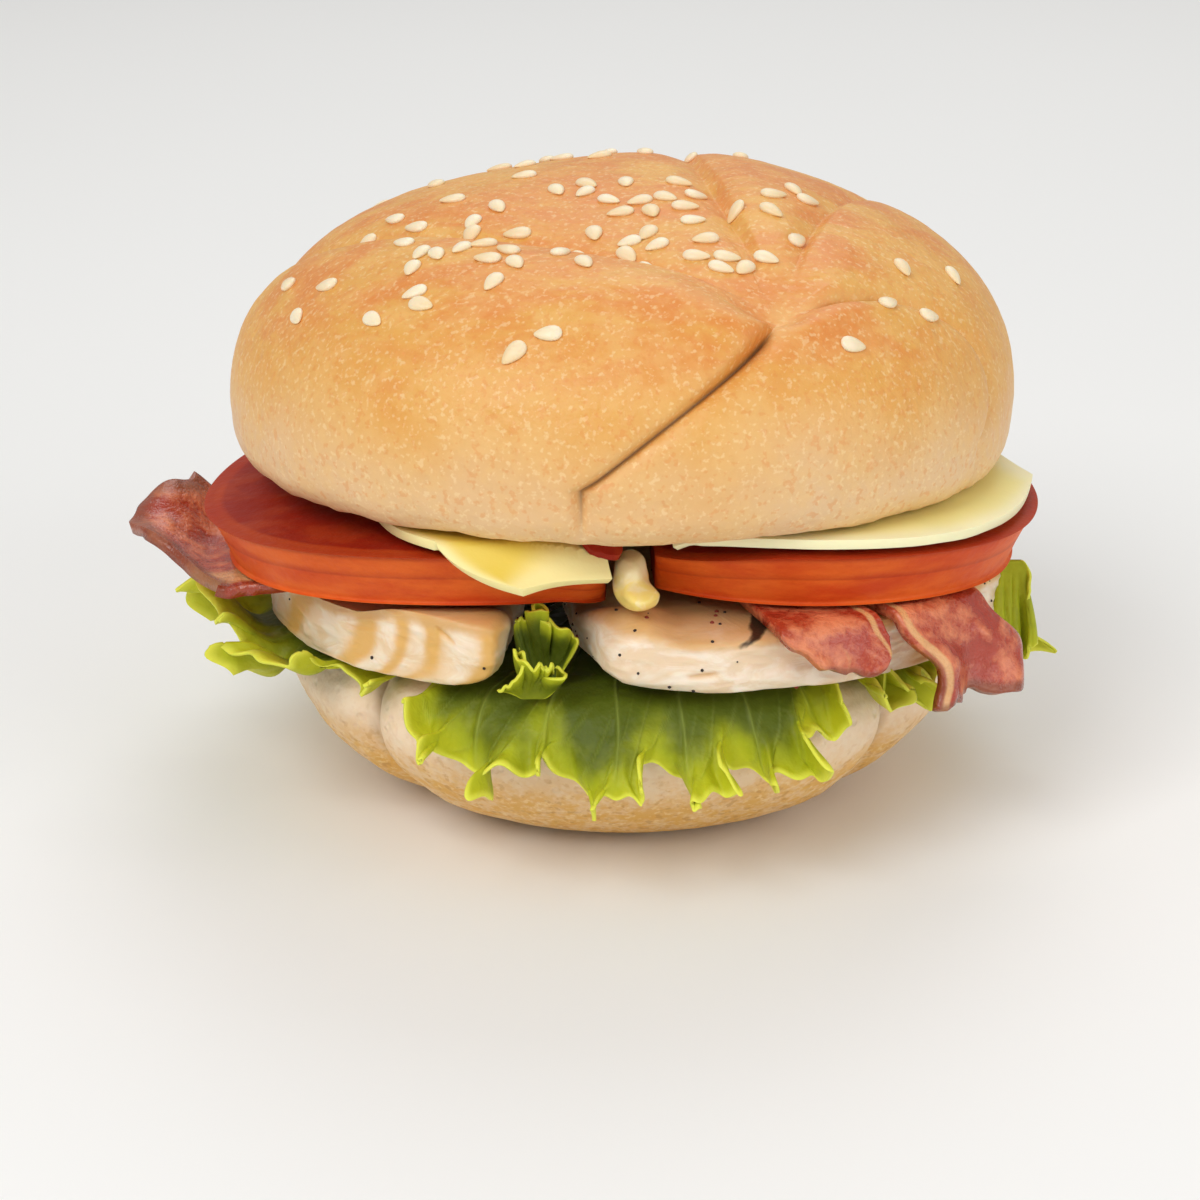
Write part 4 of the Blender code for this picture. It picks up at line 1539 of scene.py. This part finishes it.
@dataclass
class LeafTuft(Food):
    """A small crumpled end of a leaf, which stands up between the other pieces."""

    name: str = "leaf_tuft"
    foot: Point = (0.0, 0.0, 0.0)
    width: float = 6.0
    height: float = 9.0
    lean: float = 2.0
    waves: float = 3.0
    phase: float = 0.0
    # How far along the leaf's colours, from deep green towards the frill, the tuft's body is painted.
    body_tone: float = 0.66
    thickness: float = 0.4
    narrow_foot: float = 0.3
    low_corners: float = 0.45
    beat_drift: Grain = Grain(5.0, 1.3)
    sway: float = 1.1
    crumple: float = 1.4
    teeth: Grain = Grain(2.6, 1.6)
    small_teeth: Grain = Grain(0.9, 1.1)
    border_share: float = 0.99

    def build(self) -> bpy.types.Object:
        """Turns the tuft's rule into a thin fine mesh."""
        return sheet(self.name, columns=150, rows=50, thickness=self.thickness, place=self.place)

    def place(self, u: float, v: float) -> tuple[Point, Marks]:
        """Places one point of the tuft.

        Args:
            u: Along its frill.
            v: From its foot to its frill.

        Returns:
            The point, its reach towards the frill and how near a vein it is.
        """
        beat = u * self.waves * math.tau + self.phase + self.beat_drift.at(u * 5.0, self.phase, v * 0.6)
        frill = smooth(0.10, 1.0, v)
        fan = (u - 0.5) * self.width * mix(self.narrow_foot, 1.0, math.sqrt(v))
        x = self.foot[0] + fan + self.sway * frill * math.cos(beat + 0.5)
        y = self.foot[1] - self.lean * v ** 1.5 + self.crumple * frill * math.sin(beat)
        rise = self.height * v * mix(self.low_corners, 1.0, math.sin(math.pi * u) ** 0.7)
        rise += frill * self.teeth.at(u * 7.0, 8.0, self.phase)
        rise += frill * self.small_teeth.at(u * 30.0, 3.0, self.phase)
        border = max(v ** 5, smooth(0.05, 0.0, u), smooth(0.95, 1.0, u))
        reach = mix(self.body_tone, self.border_share, border)
        return (x, y, self.foot[2] + rise), {"reach": reach, "vein": 0.0}


class Grill(Enum):
    """Where a piece of chicken is striped: the azimuths, in degrees, that its shape is drawn with."""

    LEFT = (-150.0, -125.0, -100.0, -79.0, -52.0, 54.0, 79.0, 101.0, 126.0, 150.0)
    RIGHT = (-168.0, -40.0, -8.0, 30.0, 58.0, 80.0, 101.0, 124.0)


@dataclass
class Chicken(Food):
    """A slab of grilled chicken with a rounded, torn edge."""

    middle: tuple[float, float] = (0.0, 0.0)
    half: tuple[float, float] = (20.0, 48.0)
    grill: Grill = Grill.LEFT
    fold: tuple[float, float, float] = (0.0, 0.0, 0.0)
    char_at: float = 0.0
    pepper_per_square_mm: float = 0.02
    squareness: float = 4.6
    profile: tuple[tuple[float, float], ...] = (
        (0, 0), (0.6, 0), (0.88, 0.03), (0.98, 0.25), (1.0, 0.55),
        (0.985, 0.85), (0.9, 0.99), (0.68, 1), (0.35, 1), (0, 1),
    )
    free_rise: float = 1.7
    back_rise: float = 2.3
    top_swell: Grain = Grain(0.25, 14.0)
    edge_swell: Grain = Grain(1.3, 11.0)
    torn: Grain = Grain(0.7, 5.0)
    rough: Grain = Grain(0.12, 1.3)
    strand: Grain = Grain(0.4, 1.5)
    fibre_heights: float = 9.0
    stripe_slant: float = 9.0
    stripe_drift: Grain = Grain(3.0, 7.0)
    stripe_width: float = 6.0
    fold_height: float = 0.045
    fold_depth: float = 0.5
    char_width: float = 3.2
    upper_edge: Range = (0.66, 0.95)
    press_ease: float = 2.6
    pepper: Finish = PepperFinish("ground_pepper", 0.6)
    pepper_variation: float = 0.5
    pepper_draw: int = 5
    pepper_size: float = 0.42

    def build(self) -> bpy.types.Object:
        """Turns the slab's rule into the fine mesh."""
        return turned(f"grilled_{self.node}", columns=260, rings=130, place=self.place)

    def make(self) -> list[bpy.types.Object]:
        """Builds the slab and scatters pepper on it.

        Returns:
            The slab and its pepper.
        """
        slab = self.build()
        self.dress(slab, self.finish)
        holder = bpy.data.objects.new(f"pepper_on_{self.node}", ordered_copy(slab.data))
        bpy.context.scene.collection.objects.link(holder)
        material = bpy.data.materials.get(self.pepper.name) or self.pepper.material()
        tree = PepperTree(
            self.pepper_variation, self.pepper_draw, self.pepper_size, self.pepper_per_square_mm
        )
        grains = tree.build(material).bake(holder)
        self.dress(grains, self.pepper)
        return [slab, grains]

    def top(self, x: float, y: float) -> float:
        """The chicken's top: level under bacon, and up to the next layer where there is none."""
        free = smooth(-35.5, -41.0, y) * (1 - smooth(2.0, 7.0, x))
        back = smooth(6.0, 14.0, y)
        return STACK.chicken_top + self.free_rise * max(free, back) + self.back_rise * smooth(12.0, 40.0, y)

    def press_in(self, x: float, y: float) -> tuple[float, float]:
        """Keeps a plan position about as far in as the roll.

        Args:
            x: Position across.
            y: Position front to back.

        Returns:
            The pressed position.
        """
        radius = math.hypot(x, y)
        limit, soft = STACK.chicken_reach(math.atan2(y, x)), self.press_ease
        over = radius - limit + soft
        if over <= 0:
            return x, y
        pressed = limit - soft + soft * (1 - math.exp(-over / soft))
        return x * pressed / radius, y * pressed / radius

    def place(self, azimuth: float, t: float) -> tuple[Point, Marks]:
        """Places one point of the chicken.

        Args:
            azimuth: Direction from the slab's middle, in radians.
            t: 0 below and 1 above.

        Returns:
            The point, and how striped, browned and charred it is and how near its fold line.
        """
        share, level = spline(self.profile, t)
        share, level = min(share, 1.02), min(max(level, 0.0), 1.0)
        cos, sin = math.cos(azimuth), math.sin(azimuth)
        power = self.squareness
        squared = (abs(cos) ** power + abs(sin) ** power) ** (-1 / power) * share
        x = self.middle[0] + self.half[0] * squared * cos
        y = self.middle[1] + self.half[1] * squared * sin
        side = smooth(0.6, 1.0, share)
        lumpy = self.edge_swell.at(x, y, level * 12) * side
        x, y = self.press_in(x + lumpy * cos, y + lumpy * sin)
        layer = level * self.fibre_heights
        strand = abs(self.strand.at(x * 0.45, y * 0.45, layer + 0.05 * x))
        tear = (self.torn.at(x, y, layer) + self.rough.at(x, y, layer) - strand) * side
        x, y = x + tear * cos, y + tear * sin
        high = self.top(x, y) + self.top_swell.at(x, y, 9.0)
        z = mix(STACK.chicken_bottom, high, level) + STACK.droop(x)
        heading = math.degrees(azimuth)
        bend = self.stripe_slant * (level - 0.5) + self.stripe_drift.at(x, y, level * 8.0)
        stripe = max(bump(heading - line - bend, self.stripe_width) for line in self.grill.value)
        browned = smooth(*self.upper_edge, level) * 0.85 + 0.5 * smooth(0.14, 0.03, level)
        start, slope, high_at = self.fold
        along = smooth(0.0, 2.0, heading - start) * (1 - smooth(6.0, 9.0, heading - start))
        line = along * side * bump(level - high_at - slope * (heading - start), self.fold_height)
        y -= self.fold_depth * line * sin
        char = 0.0
        if self.char_at:
            char = bump(heading - self.char_at, self.char_width) * smooth(*self.upper_edge, level)
        return (x, y, z), {"stripe": stripe * side, "browned": browned, "line": line, "char": char}


@dataclass
class BaconLeft(Food):
    """The left rasher: flat under the tomato, then curling up outside its end."""

    inner: float = -15.0
    tip_front: float = -52.0
    tip_back: float = -65.5
    back_cut: float = 6.0
    sides: Range = (-28.6, 2.0)
    torn_tip: Grain = Grain(1.2, 4.0)
    curl: float = 5.5
    back_curl: float = 2.5
    curled_radii: Range = (31.8, 41.5)
    loose_radii: Range = (34.0, 40.0)
    wave: float = 0.9
    crinkle: Grain = Grain(0.35, 3.0)
    side_drift: Grain = Grain(1.2, 9.0)
    torn_side: Grain = Grain(0.4, 2.0)

    def build(self) -> bpy.types.Object:
        """Turns the rasher's rule into the fine mesh."""
        return sheet("rasher_left", columns=170, rows=100, thickness=STACK.bacon, place=self.place)

    def place(self, u: float, v: float) -> tuple[Point, Marks]:
        """Places one point of the rasher.

        Args:
            u: From the inside to the tip.
            v: From the front edge to the back edge.

        Returns:
            The point, and its marks for the fat and the browned rim.
        """
        tip = mix(self.tip_front, self.tip_back, smooth(0.0, 0.6, v)) + self.back_cut * smooth(0.65, 1.0, v)
        tip += self.torn_tip.at(v * 30.0, 3.0, 0.0)
        x, y = mix(self.inner, tip, u), mix(*self.sides, v)
        past = math.dist((x, y), LEFT_SLICE.middle)
        curl = (self.curl + self.back_curl * v) * smooth(*self.curled_radii, past)
        loose = smooth(*self.loose_radii, past)
        wave = loose * (self.wave * math.sin(v * 9.0 + x * 0.2) + self.crinkle.at(x, y, 0.0))
        y += self.side_drift.at(x, 0.0, 0.0) + self.torn_side.at(x, v, 0.0) * (1 - smooth(0.0, 0.2, v))
        rim = max(smooth(0.86, 1.0, u), smooth(0.14, 0.0, v) * 0.8, smooth(0.93, 1.0, v) * 0.8)
        fat = 0.95 * bump(v - 0.13, 0.13) + 0.45 * bump(v - 0.55 - 0.08 * math.sin(x * 0.3), 0.05)
        return (x, y, STACK.bacon_middle + STACK.droop(x) + curl + wave), {"fat": fat, "rim": rim}


@dataclass
class BaconRight(Food):
    """A rasher that leaves the right of the stack and hangs down over the chicken."""

    start: float = -69.0
    end: float = -54.0
    inner: float = 26.0
    hang: float = 6.8
    steepest: float = 80.0
    tongue: float = 1.0
    fat_at: float = 0.9
    chicken_gap: float = 1.5
    ease: float = 1.8
    torn_end: Grain = Grain(0.8, 3.0)
    wave: float = 1.4
    sway: float = 0.05
    crinkle: Grain = Grain(0.5, 3.0)
    crinkle_out: float = 0.25

    def build(self) -> bpy.types.Object:
        """Turns the rasher's rule into the fine mesh."""
        name = f"rasher_{self.node.split('_', 1)[1]}"
        return sheet(name, columns=120, rows=90, thickness=STACK.bacon, place=self.place)

    def place(self, u: float, v: float) -> tuple[Point, Marks]:
        """Places one point of the rasher.

        Args:
            u: From the inside to the hanging end.
            v: Across the rasher.

        Returns:
            The point, and its marks for the fat and the browned rim.
        """
        azimuth = math.radians(mix(self.start, self.end, v))
        length = self.hang * mix(1.0, math.sin(math.pi * mix(0.06, 0.84, v)), self.tongue)
        length += self.torn_end.at(v * 24.0, 1.0, 0.0) * smooth(0.5, 1.0, u)
        edge = STACK.chicken_reach(azimuth) + self.chicken_gap
        radius, fall = over_edge(edge, mix(-self.inner, length, u), self.steepest, self.ease)
        loose = smooth(1.0, 6.0, fall)
        radius += self.wave * (math.sin(v * 8.0 + 1.0) + 0.7) * loose
        azimuth += self.sway * math.sin(u * 9.0) * loose
        radius += loose * (self.crinkle.at(v * 20.0, fall, 4.0) + self.crinkle_out)
        x, y = polar(radius, azimuth)
        rim = max(smooth(0.93, 1.0, u), smooth(0.08, 0.0, v), smooth(0.92, 1.0, v)) * loose
        fat = 0.95 * bump(v - self.fat_at, 0.06) + 0.5 * bump(v - 0.45 - 0.06 * math.sin(u * 22.0), 0.05)
        return (x, y, STACK.bacon_middle + STACK.droop(x) - fall), {"fat": fat, "rim": rim}


@dataclass
class Tomato(Food):
    """A slice of tomato: flat cut faces, a tapered skin, and one side trimmed and thinner."""

    outline: SliceOutline = LEFT_SLICE
    trim: float = 0.0
    profile: tuple[tuple[float, float], ...] = (
        (0, 0), (0.5, 0), (0.89, 0), (0.915, 0.08), (0.955, 0.5), (0.995, 0.92), (0.975, 1), (0.5, 1), (0, 1),
    )
    wobble: Grain = Grain(0.006, 9.0)
    trimmed_share: float = 0.05
    dip: float = 4.2
    right_dip_share: float = 0.4
    lift: float = 1.2
    hollows: Grain = Grain(0.25, 6.0)

    def build(self) -> bpy.types.Object:
        """Turns the slice's rule into the fine mesh."""
        return turned(f"slice_{self.node}", columns=220, rings=90, place=self.place)

    def place(self, azimuth: float, t: float) -> tuple[Point, Marks]:
        """Places one point of the slice.

        Args:
            azimuth: Direction from the slice's middle, in radians.
            t: 0 below and 1 above.

        Returns:
            The point, whether it lies on a cut face, and how near the painted shade at the skin's upper edge
            it is.
        """
        share, level = spline(self.profile, t)
        wobble = 1 + self.wobble.at(azimuth * 20.0, 0.0, 0.0)
        x, y = polar(self.outline.edge(azimuth) * share * wobble, azimuth)
        x, y = self.outline.middle[0] + x, self.outline.middle[1] + y
        inward = math.copysign(1, -self.outline.middle[0])
        past = (x - self.trim) * inward
        if past > 0:
            x = self.trim + inward * past * self.trimmed_share
        dip = self.dip * smooth(-18.0, 0.0, past) * level * (1.0 if inward > 0 else self.right_dip_share)
        if inward > 0:
            dip += self.lift * smooth(-6.5, 0.0, past) * (1 - level)
        flat = smooth(0.975, 0.94, share) * (1.0 if level > 0.5 else smooth(0.9, 0.87, share))
        hollow = -flat * abs(self.hollows.at(x, y, 0.0)) * (1 if level > 0.5 else -1)
        z = mix(STACK.tomato_bottom, STACK.tomato_top, level) + STACK.droop(x) - dip + hollow
        # Painted shade: a dark band along the top of the skin.
        brim_shade = smooth(0.86, 0.99, level) * (1 - flat)
        return (x, y, z), {"cut": max(flat, smooth(-0.5, 1.0, past)), "brim_shade": brim_shade}


@dataclass
class TomatoBit(Food):
    """The small bit of tomato that lies on the cheese, over the gap between the two slices."""

    middle: tuple[float, float] = (-3.7, -42.7)
    half: tuple[float, float] = (2.9, 2.0)
    thickness: float = 1.0
    profile: tuple[tuple[float, float], ...] = Tomato.profile
    corners: float = 0.12
    unevenness: Grain = Grain(0.15, 1.2)

    def build(self) -> bpy.types.Object:
        """Turns the bit's rule into the fine mesh."""
        return turned("bit_of_tomato", columns=80, rings=40, place=self.place)

    def place(self, azimuth: float, t: float) -> tuple[Point, Marks]:
        """Places one point of the bit of tomato.

        Args:
            azimuth: Direction from its middle, in radians.
            t: 0 below and 1 above.

        Returns:
            The point; all of it shows as cut flesh.
        """
        share, level = spline(self.profile, t)
        x, y = polar(share * (1 + self.corners * math.cos(3 * azimuth)), azimuth)
        x, y = self.middle[0] + self.half[0] * x, self.middle[1] + self.half[1] * y
        z = cheese_height(x, y) + STACK.cheese / 2 + STACK.gap + self.thickness * level
        return (x, y, z + self.unevenness.at(x, y, z)), {"cut": 1.0, "brim_shade": 0.0}


@dataclass
class Sauce(Food):
    """The melted lump between the tomatoes: a narrow neck above, spreading where it comes out."""

    middle: tuple[float, float] = (0.6, -41.0)
    half: tuple[float, float] = (2.2, 6.4)
    bottom: float = 37.4
    top: float = 43.6
    neck: float = 0.6
    spread: float = 0.4
    front_wobble: Grain = Grain(0.1, 0.8)
    lump: Grain = Grain(0.35, 2.4)

    def build(self) -> bpy.types.Object:
        """Turns the lump's rule into the fine mesh."""
        return turned("melted_sauce", columns=110, rings=80, place=self.place)

    def place(self, azimuth: float, t: float) -> tuple[Point, Marks]:
        """Places one point of the lump.

        Args:
            azimuth: Direction from its middle, in radians.
            t: 0 below and 1 above.

        Returns:
            The point, with no marks.
        """
        level = 0.5 - 0.5 * math.cos(t * math.pi)
        low = 1 - smooth(0.35, 0.65, level)
        x, y = polar(math.sqrt(max(math.sin(t * math.pi), 0.0)), azimuth)
        wobble = 1 + self.front_wobble.at(x, y, t * 3)
        y = self.middle[1] + self.half[1] * mix(self.neck, 1.0, low) * y * wobble
        spread = low * smooth(-41.5, -45.0, y)
        x = self.middle[0] + spread + self.half[0] * x * (1 + self.spread * spread)
        z = mix(self.bottom, self.top, level)
        lump = self.lump.at(x, y, z)
        return (x + lump, y - abs(lump), z), {}


@dataclass
class Cheese(Food):
    """A soft slice of cheese that lies on the tomato and hangs down past its edge."""

    corners: tuple[tuple[float, float], ...] = ((0, 0), (1, 0), (1, 1), (0, 1))
    bow: float = 0.0
    soft_edge: float = 0.3
    wavy: Grain = Grain(0.15, 7.0)

    def build(self) -> bpy.types.Object:
        """Turns the slice's rule into the fine mesh."""
        name = f"slice_{self.node}"
        piece = sheet(name, columns=110, rows=80, thickness=STACK.cheese, place=self.place)
        soft = piece.modifiers.new("Soft edges", "BEVEL")
        soft.width = self.soft_edge * MM
        soft.segments = 2
        return piece

    def place(self, u: float, v: float) -> tuple[Point, Marks]:
        """Places one point of the slice.

        Args:
            u: Along the front edge.
            v: From the front to the back.

        Returns:
            The point, and how near an edge it is.
        """
        near = max(bump(u, 0.08), bump(1 - u, 0.08), bump(v, 0.10))
        front, outer, back, inner = self.corners
        v = v ** 1.5
        x, y = (
            mix(mix(front[axis], outer[axis], u), mix(inner[axis], back[axis], u), v) for axis in (0, 1)
        )
        along = Vector(outer) - Vector(front)
        along *= math.copysign(self.bow * 4 * u * (1 - u) * (1 - v) ** 2, outer[0]) / along.length
        x, y = x + along.y, y - along.x
        return (x, y, cheese_height(x, y) + self.wavy.at(x, y, 0.0)), {"edge": near}


# Studio


@dataclass
class Studio:
    """A plain pale floor, soft lights and the camera."""

    target: Point = (0.0, 0.0, 40.0)
    distance: float = 386.0
    elevation: float = 19.0
    lens: float = 85.0
    target_pixel: tuple[float, float] = (626.0, 472.85)
    image_width: float = 1200.0
    sensor: float = 36.0
    near_clip: float = 0.01
    world_colour: tuple[float, float, float, float] = (1.0, 0.99, 0.97, 1.0)
    world_strength: float = 0.46
    lamps: tuple[tuple[str, Point, float, float], ...] = (
        ("key", (-0.42, -0.62, 0.78), 0.55, 5.4),
        ("fill", (0.75, -0.55, 0.45), 0.70, 2.5),
        ("back", (0.10, 0.62, 0.80), 0.60, 2.2),
    )
    floor_light: Colour = (0.93, 0.93, 0.92)
    floor_dark: Colour = (0.90, 0.90, 0.89)
    floor_clouds: Cloud = Cloud(3.0, 2.0)
    floor_roughness: float = 0.6
    floor_half_width: float = 3.0

    def build(self) -> None:
        """Makes the floor, the lights, the world and the camera."""
        self.floor()
        for name, place, size, power in self.lamps:
            self.light(name, place, size, power)
        world = bpy.data.worlds.new("studio")
        world.use_nodes = True
        glow = world.node_tree.nodes["Background"]
        glow.inputs["Color"].default_value = self.world_colour
        glow.inputs["Strength"].default_value = self.world_strength
        bpy.context.scene.world = world
        bpy.context.scene.view_settings.view_transform = "Standard"
        self.camera()

    def floor(self) -> None:
        """Makes the floor as one large pale sheet."""
        bm = bmesh.new()
        bmesh.ops.create_grid(bm, x_segments=1, y_segments=1, size=self.floor_half_width)
        mesh = bpy.data.meshes.new("floor")
        bm.to_mesh(mesh)
        bm.free()
        floor = bpy.data.objects.new("floor", mesh)
        bpy.context.scene.collection.objects.link(floor)
        material = bpy.data.materials.new("pale_floor")
        material.use_nodes = True
        nodes = Nodes(material.node_tree)
        shader = material.node_tree.nodes["Principled BSDF"]
        colour = nodes.blend(nodes.cloud(self.floor_clouds), self.floor_light, self.floor_dark)
        nodes.give(shader.inputs["Base Color"], colour)
        nodes.give(shader.inputs["Roughness"], self.floor_roughness)
        mesh.materials.append(material)

    def light(self, name: str, place: Point, size: float, power: float) -> None:
        """Adds one soft light that faces the burger.

        Args:
            name: Name of the light.
            place: Its place in metres.
            size: Its width in metres.
            power: Its power in watts.
        """
        lamp = bpy.data.lights.new(name, "AREA")
        lamp.size = size
        lamp.energy = power
        holder = bpy.data.objects.new(name, lamp)
        holder.location = place
        aim = Vector(self.target) * MM - Vector(place)
        holder.rotation_euler = aim.to_track_quat("-Z", "Y").to_euler()
        bpy.context.scene.collection.objects.link(holder)

    def camera(self) -> None:
        """Sets the camera at the photo's height, with the burger where the photo has it."""
        rise = math.radians(self.elevation)
        target = Vector(self.target) * MM
        place = target + self.distance * MM * Vector((0.0, -math.cos(rise), math.sin(rise)))
        lens = bpy.data.cameras.new("camera")
        lens.lens = self.lens
        lens.sensor_width = self.sensor
        lens.shift_x = (self.image_width / 2 - self.target_pixel[0]) / self.image_width
        lens.shift_y = (self.target_pixel[1] - self.image_width / 2) / self.image_width
        lens.clip_start = self.near_clip
        holder = bpy.data.objects.new("camera", lens)
        holder.location = place
        holder.rotation_euler = (target - place).to_track_quat("-Z", "Y").to_euler()
        bpy.context.scene.collection.objects.link(holder)
        bpy.context.scene.camera = holder


def layers() -> list[Food]:
    """The burger's foods from the heel up.

    Returns:
        Every food, ready to be made.
    """
    leaf = LeafFinish("lettuce_leaf", 0.5, 0.12, 0.0010, 0.0, 0.22)
    meat = ChickenFinish("grilled_chicken", 0.4, 0.25, 0.002)
    breast = ChickenFinish(
        "white_chicken", 0.4, 0.25, 0.002,
        meat=(0.84, 0.64, 0.43), white=(0.93, 0.80, 0.65), gold=(0.70, 0.40, 0.12),
    )
    rasher = BaconFinish("fried_bacon", 0.3, 0.15, 0.0015, 0.35)
    slice_finish = TomatoFinish("tomato_slice", 0.45, 0.08, 0.0015, 0.0, 0.2)
    cheese = CheeseFinish("sliced_cheese", 0.4, 0.15, 0.0015, 0.0, 0.3)
    pale_cheese = CheeseFinish(
        "pale_cheese", 0.4, 0.15, 0.0015, 0.0, 0.3, body=(0.95, 0.85, 0.33), edge=(0.96, 0.90, 0.56)
    )
    return [
        Heel("heel", "roll_bottom", CrumbFinish("roll_bottom_crust", 0.62, 0.15, 0.0015)),
        Lettuce("lettuce_front", "lettuce", leaf, "leaf_front", 238, 304, 5, 11.5, 68, 620, 64, 1.0),
        Lettuce("lettuce_back", "lettuce", leaf, "leaf_back", -24, 231, 13, 10.0, 42, 1040, 44),
        Lettuce("lettuce_back", "lettuce", leaf, "leaf_right_tip", -52, -37, 1.6, 5.5, 46, 150, 40),
        LeafTuft("lettuce_front", "lettuce", leaf, "tuft_behind",
                 (-10.2, -41.5, 26.6), 6.6, 10.5, 1.5, 2.2, 0.4, 0.60),
        LeafTuft("lettuce_front", "lettuce", leaf, "tuft_middle",
                 (-11.4, -45.5, 26.4), 7.0, 6.0, 2.2, 2.6, 2.9, 0.76),
        LeafTuft("lettuce_back", "lettuce", leaf, "tuft_right",
                 (51.2, -15.0, 33.0), 6.5, -12.5, 1.5, 2.4, 1.1, 0.86),
        Chicken("chicken_left", "chicken", meat, (-31.4, -2.0), (18.6, 49.0), Grill.LEFT,
                (-75.0, -0.025, 0.86), 0.0, 0.008),
        Chicken("chicken_right", "chicken", breast, (21.2, -1.0), (29.0, 50.0), Grill.RIGHT,
                (-115.0, 0.004, 0.42), -101.5, 0.055),
        BaconLeft("bacon_left", "bacon", rasher),
        BaconRight("bacon_right_inner", "bacon", rasher),
        BaconRight("bacon_right_outer", "bacon", rasher, -51.0, -34.5, 26.0, 12.0, 76.0, 0.0, 0.05),
        Tomato("tomato_left", "tomato", slice_finish, LEFT_SLICE, -2.6),
        Tomato("tomato_right", "tomato", slice_finish, RIGHT_SLICE, 3.6),
        TomatoBit("tomato_bit", "tomato", slice_finish),
        Sauce("sauce", "sauce", SauceFinish("melted_sauce", 0.3, 0.3, 0.002, 0.2)),
        Cheese("cheese_left", "cheese", cheese,
               ((-12.2, -50.6), (-32.0, -30.0), (-30.0, 30.0), (-1.9, -45.2)), 4.5),
        Cheese("cheese_right", "cheese", pale_cheese,
               ((6.0, -43.0), (53.5, -12.0), (26.0, 40.0), (-19.0, 36.0)), 15.5),
        Crown("crown", "roll_top", CrustFinish("roll_top_crust", 0.48, 0.12, 0.0015)),
    ]


def main() -> None:
    """Builds the studio and every layer."""
    logging.basicConfig(level=logging.INFO, format="%(name)s: %(message)s")
    Studio().build()
    for food in layers():
        for piece in food.make():
            LOG.info("made %s", piece.name)
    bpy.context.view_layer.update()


if __name__ == "__main__":
    main()
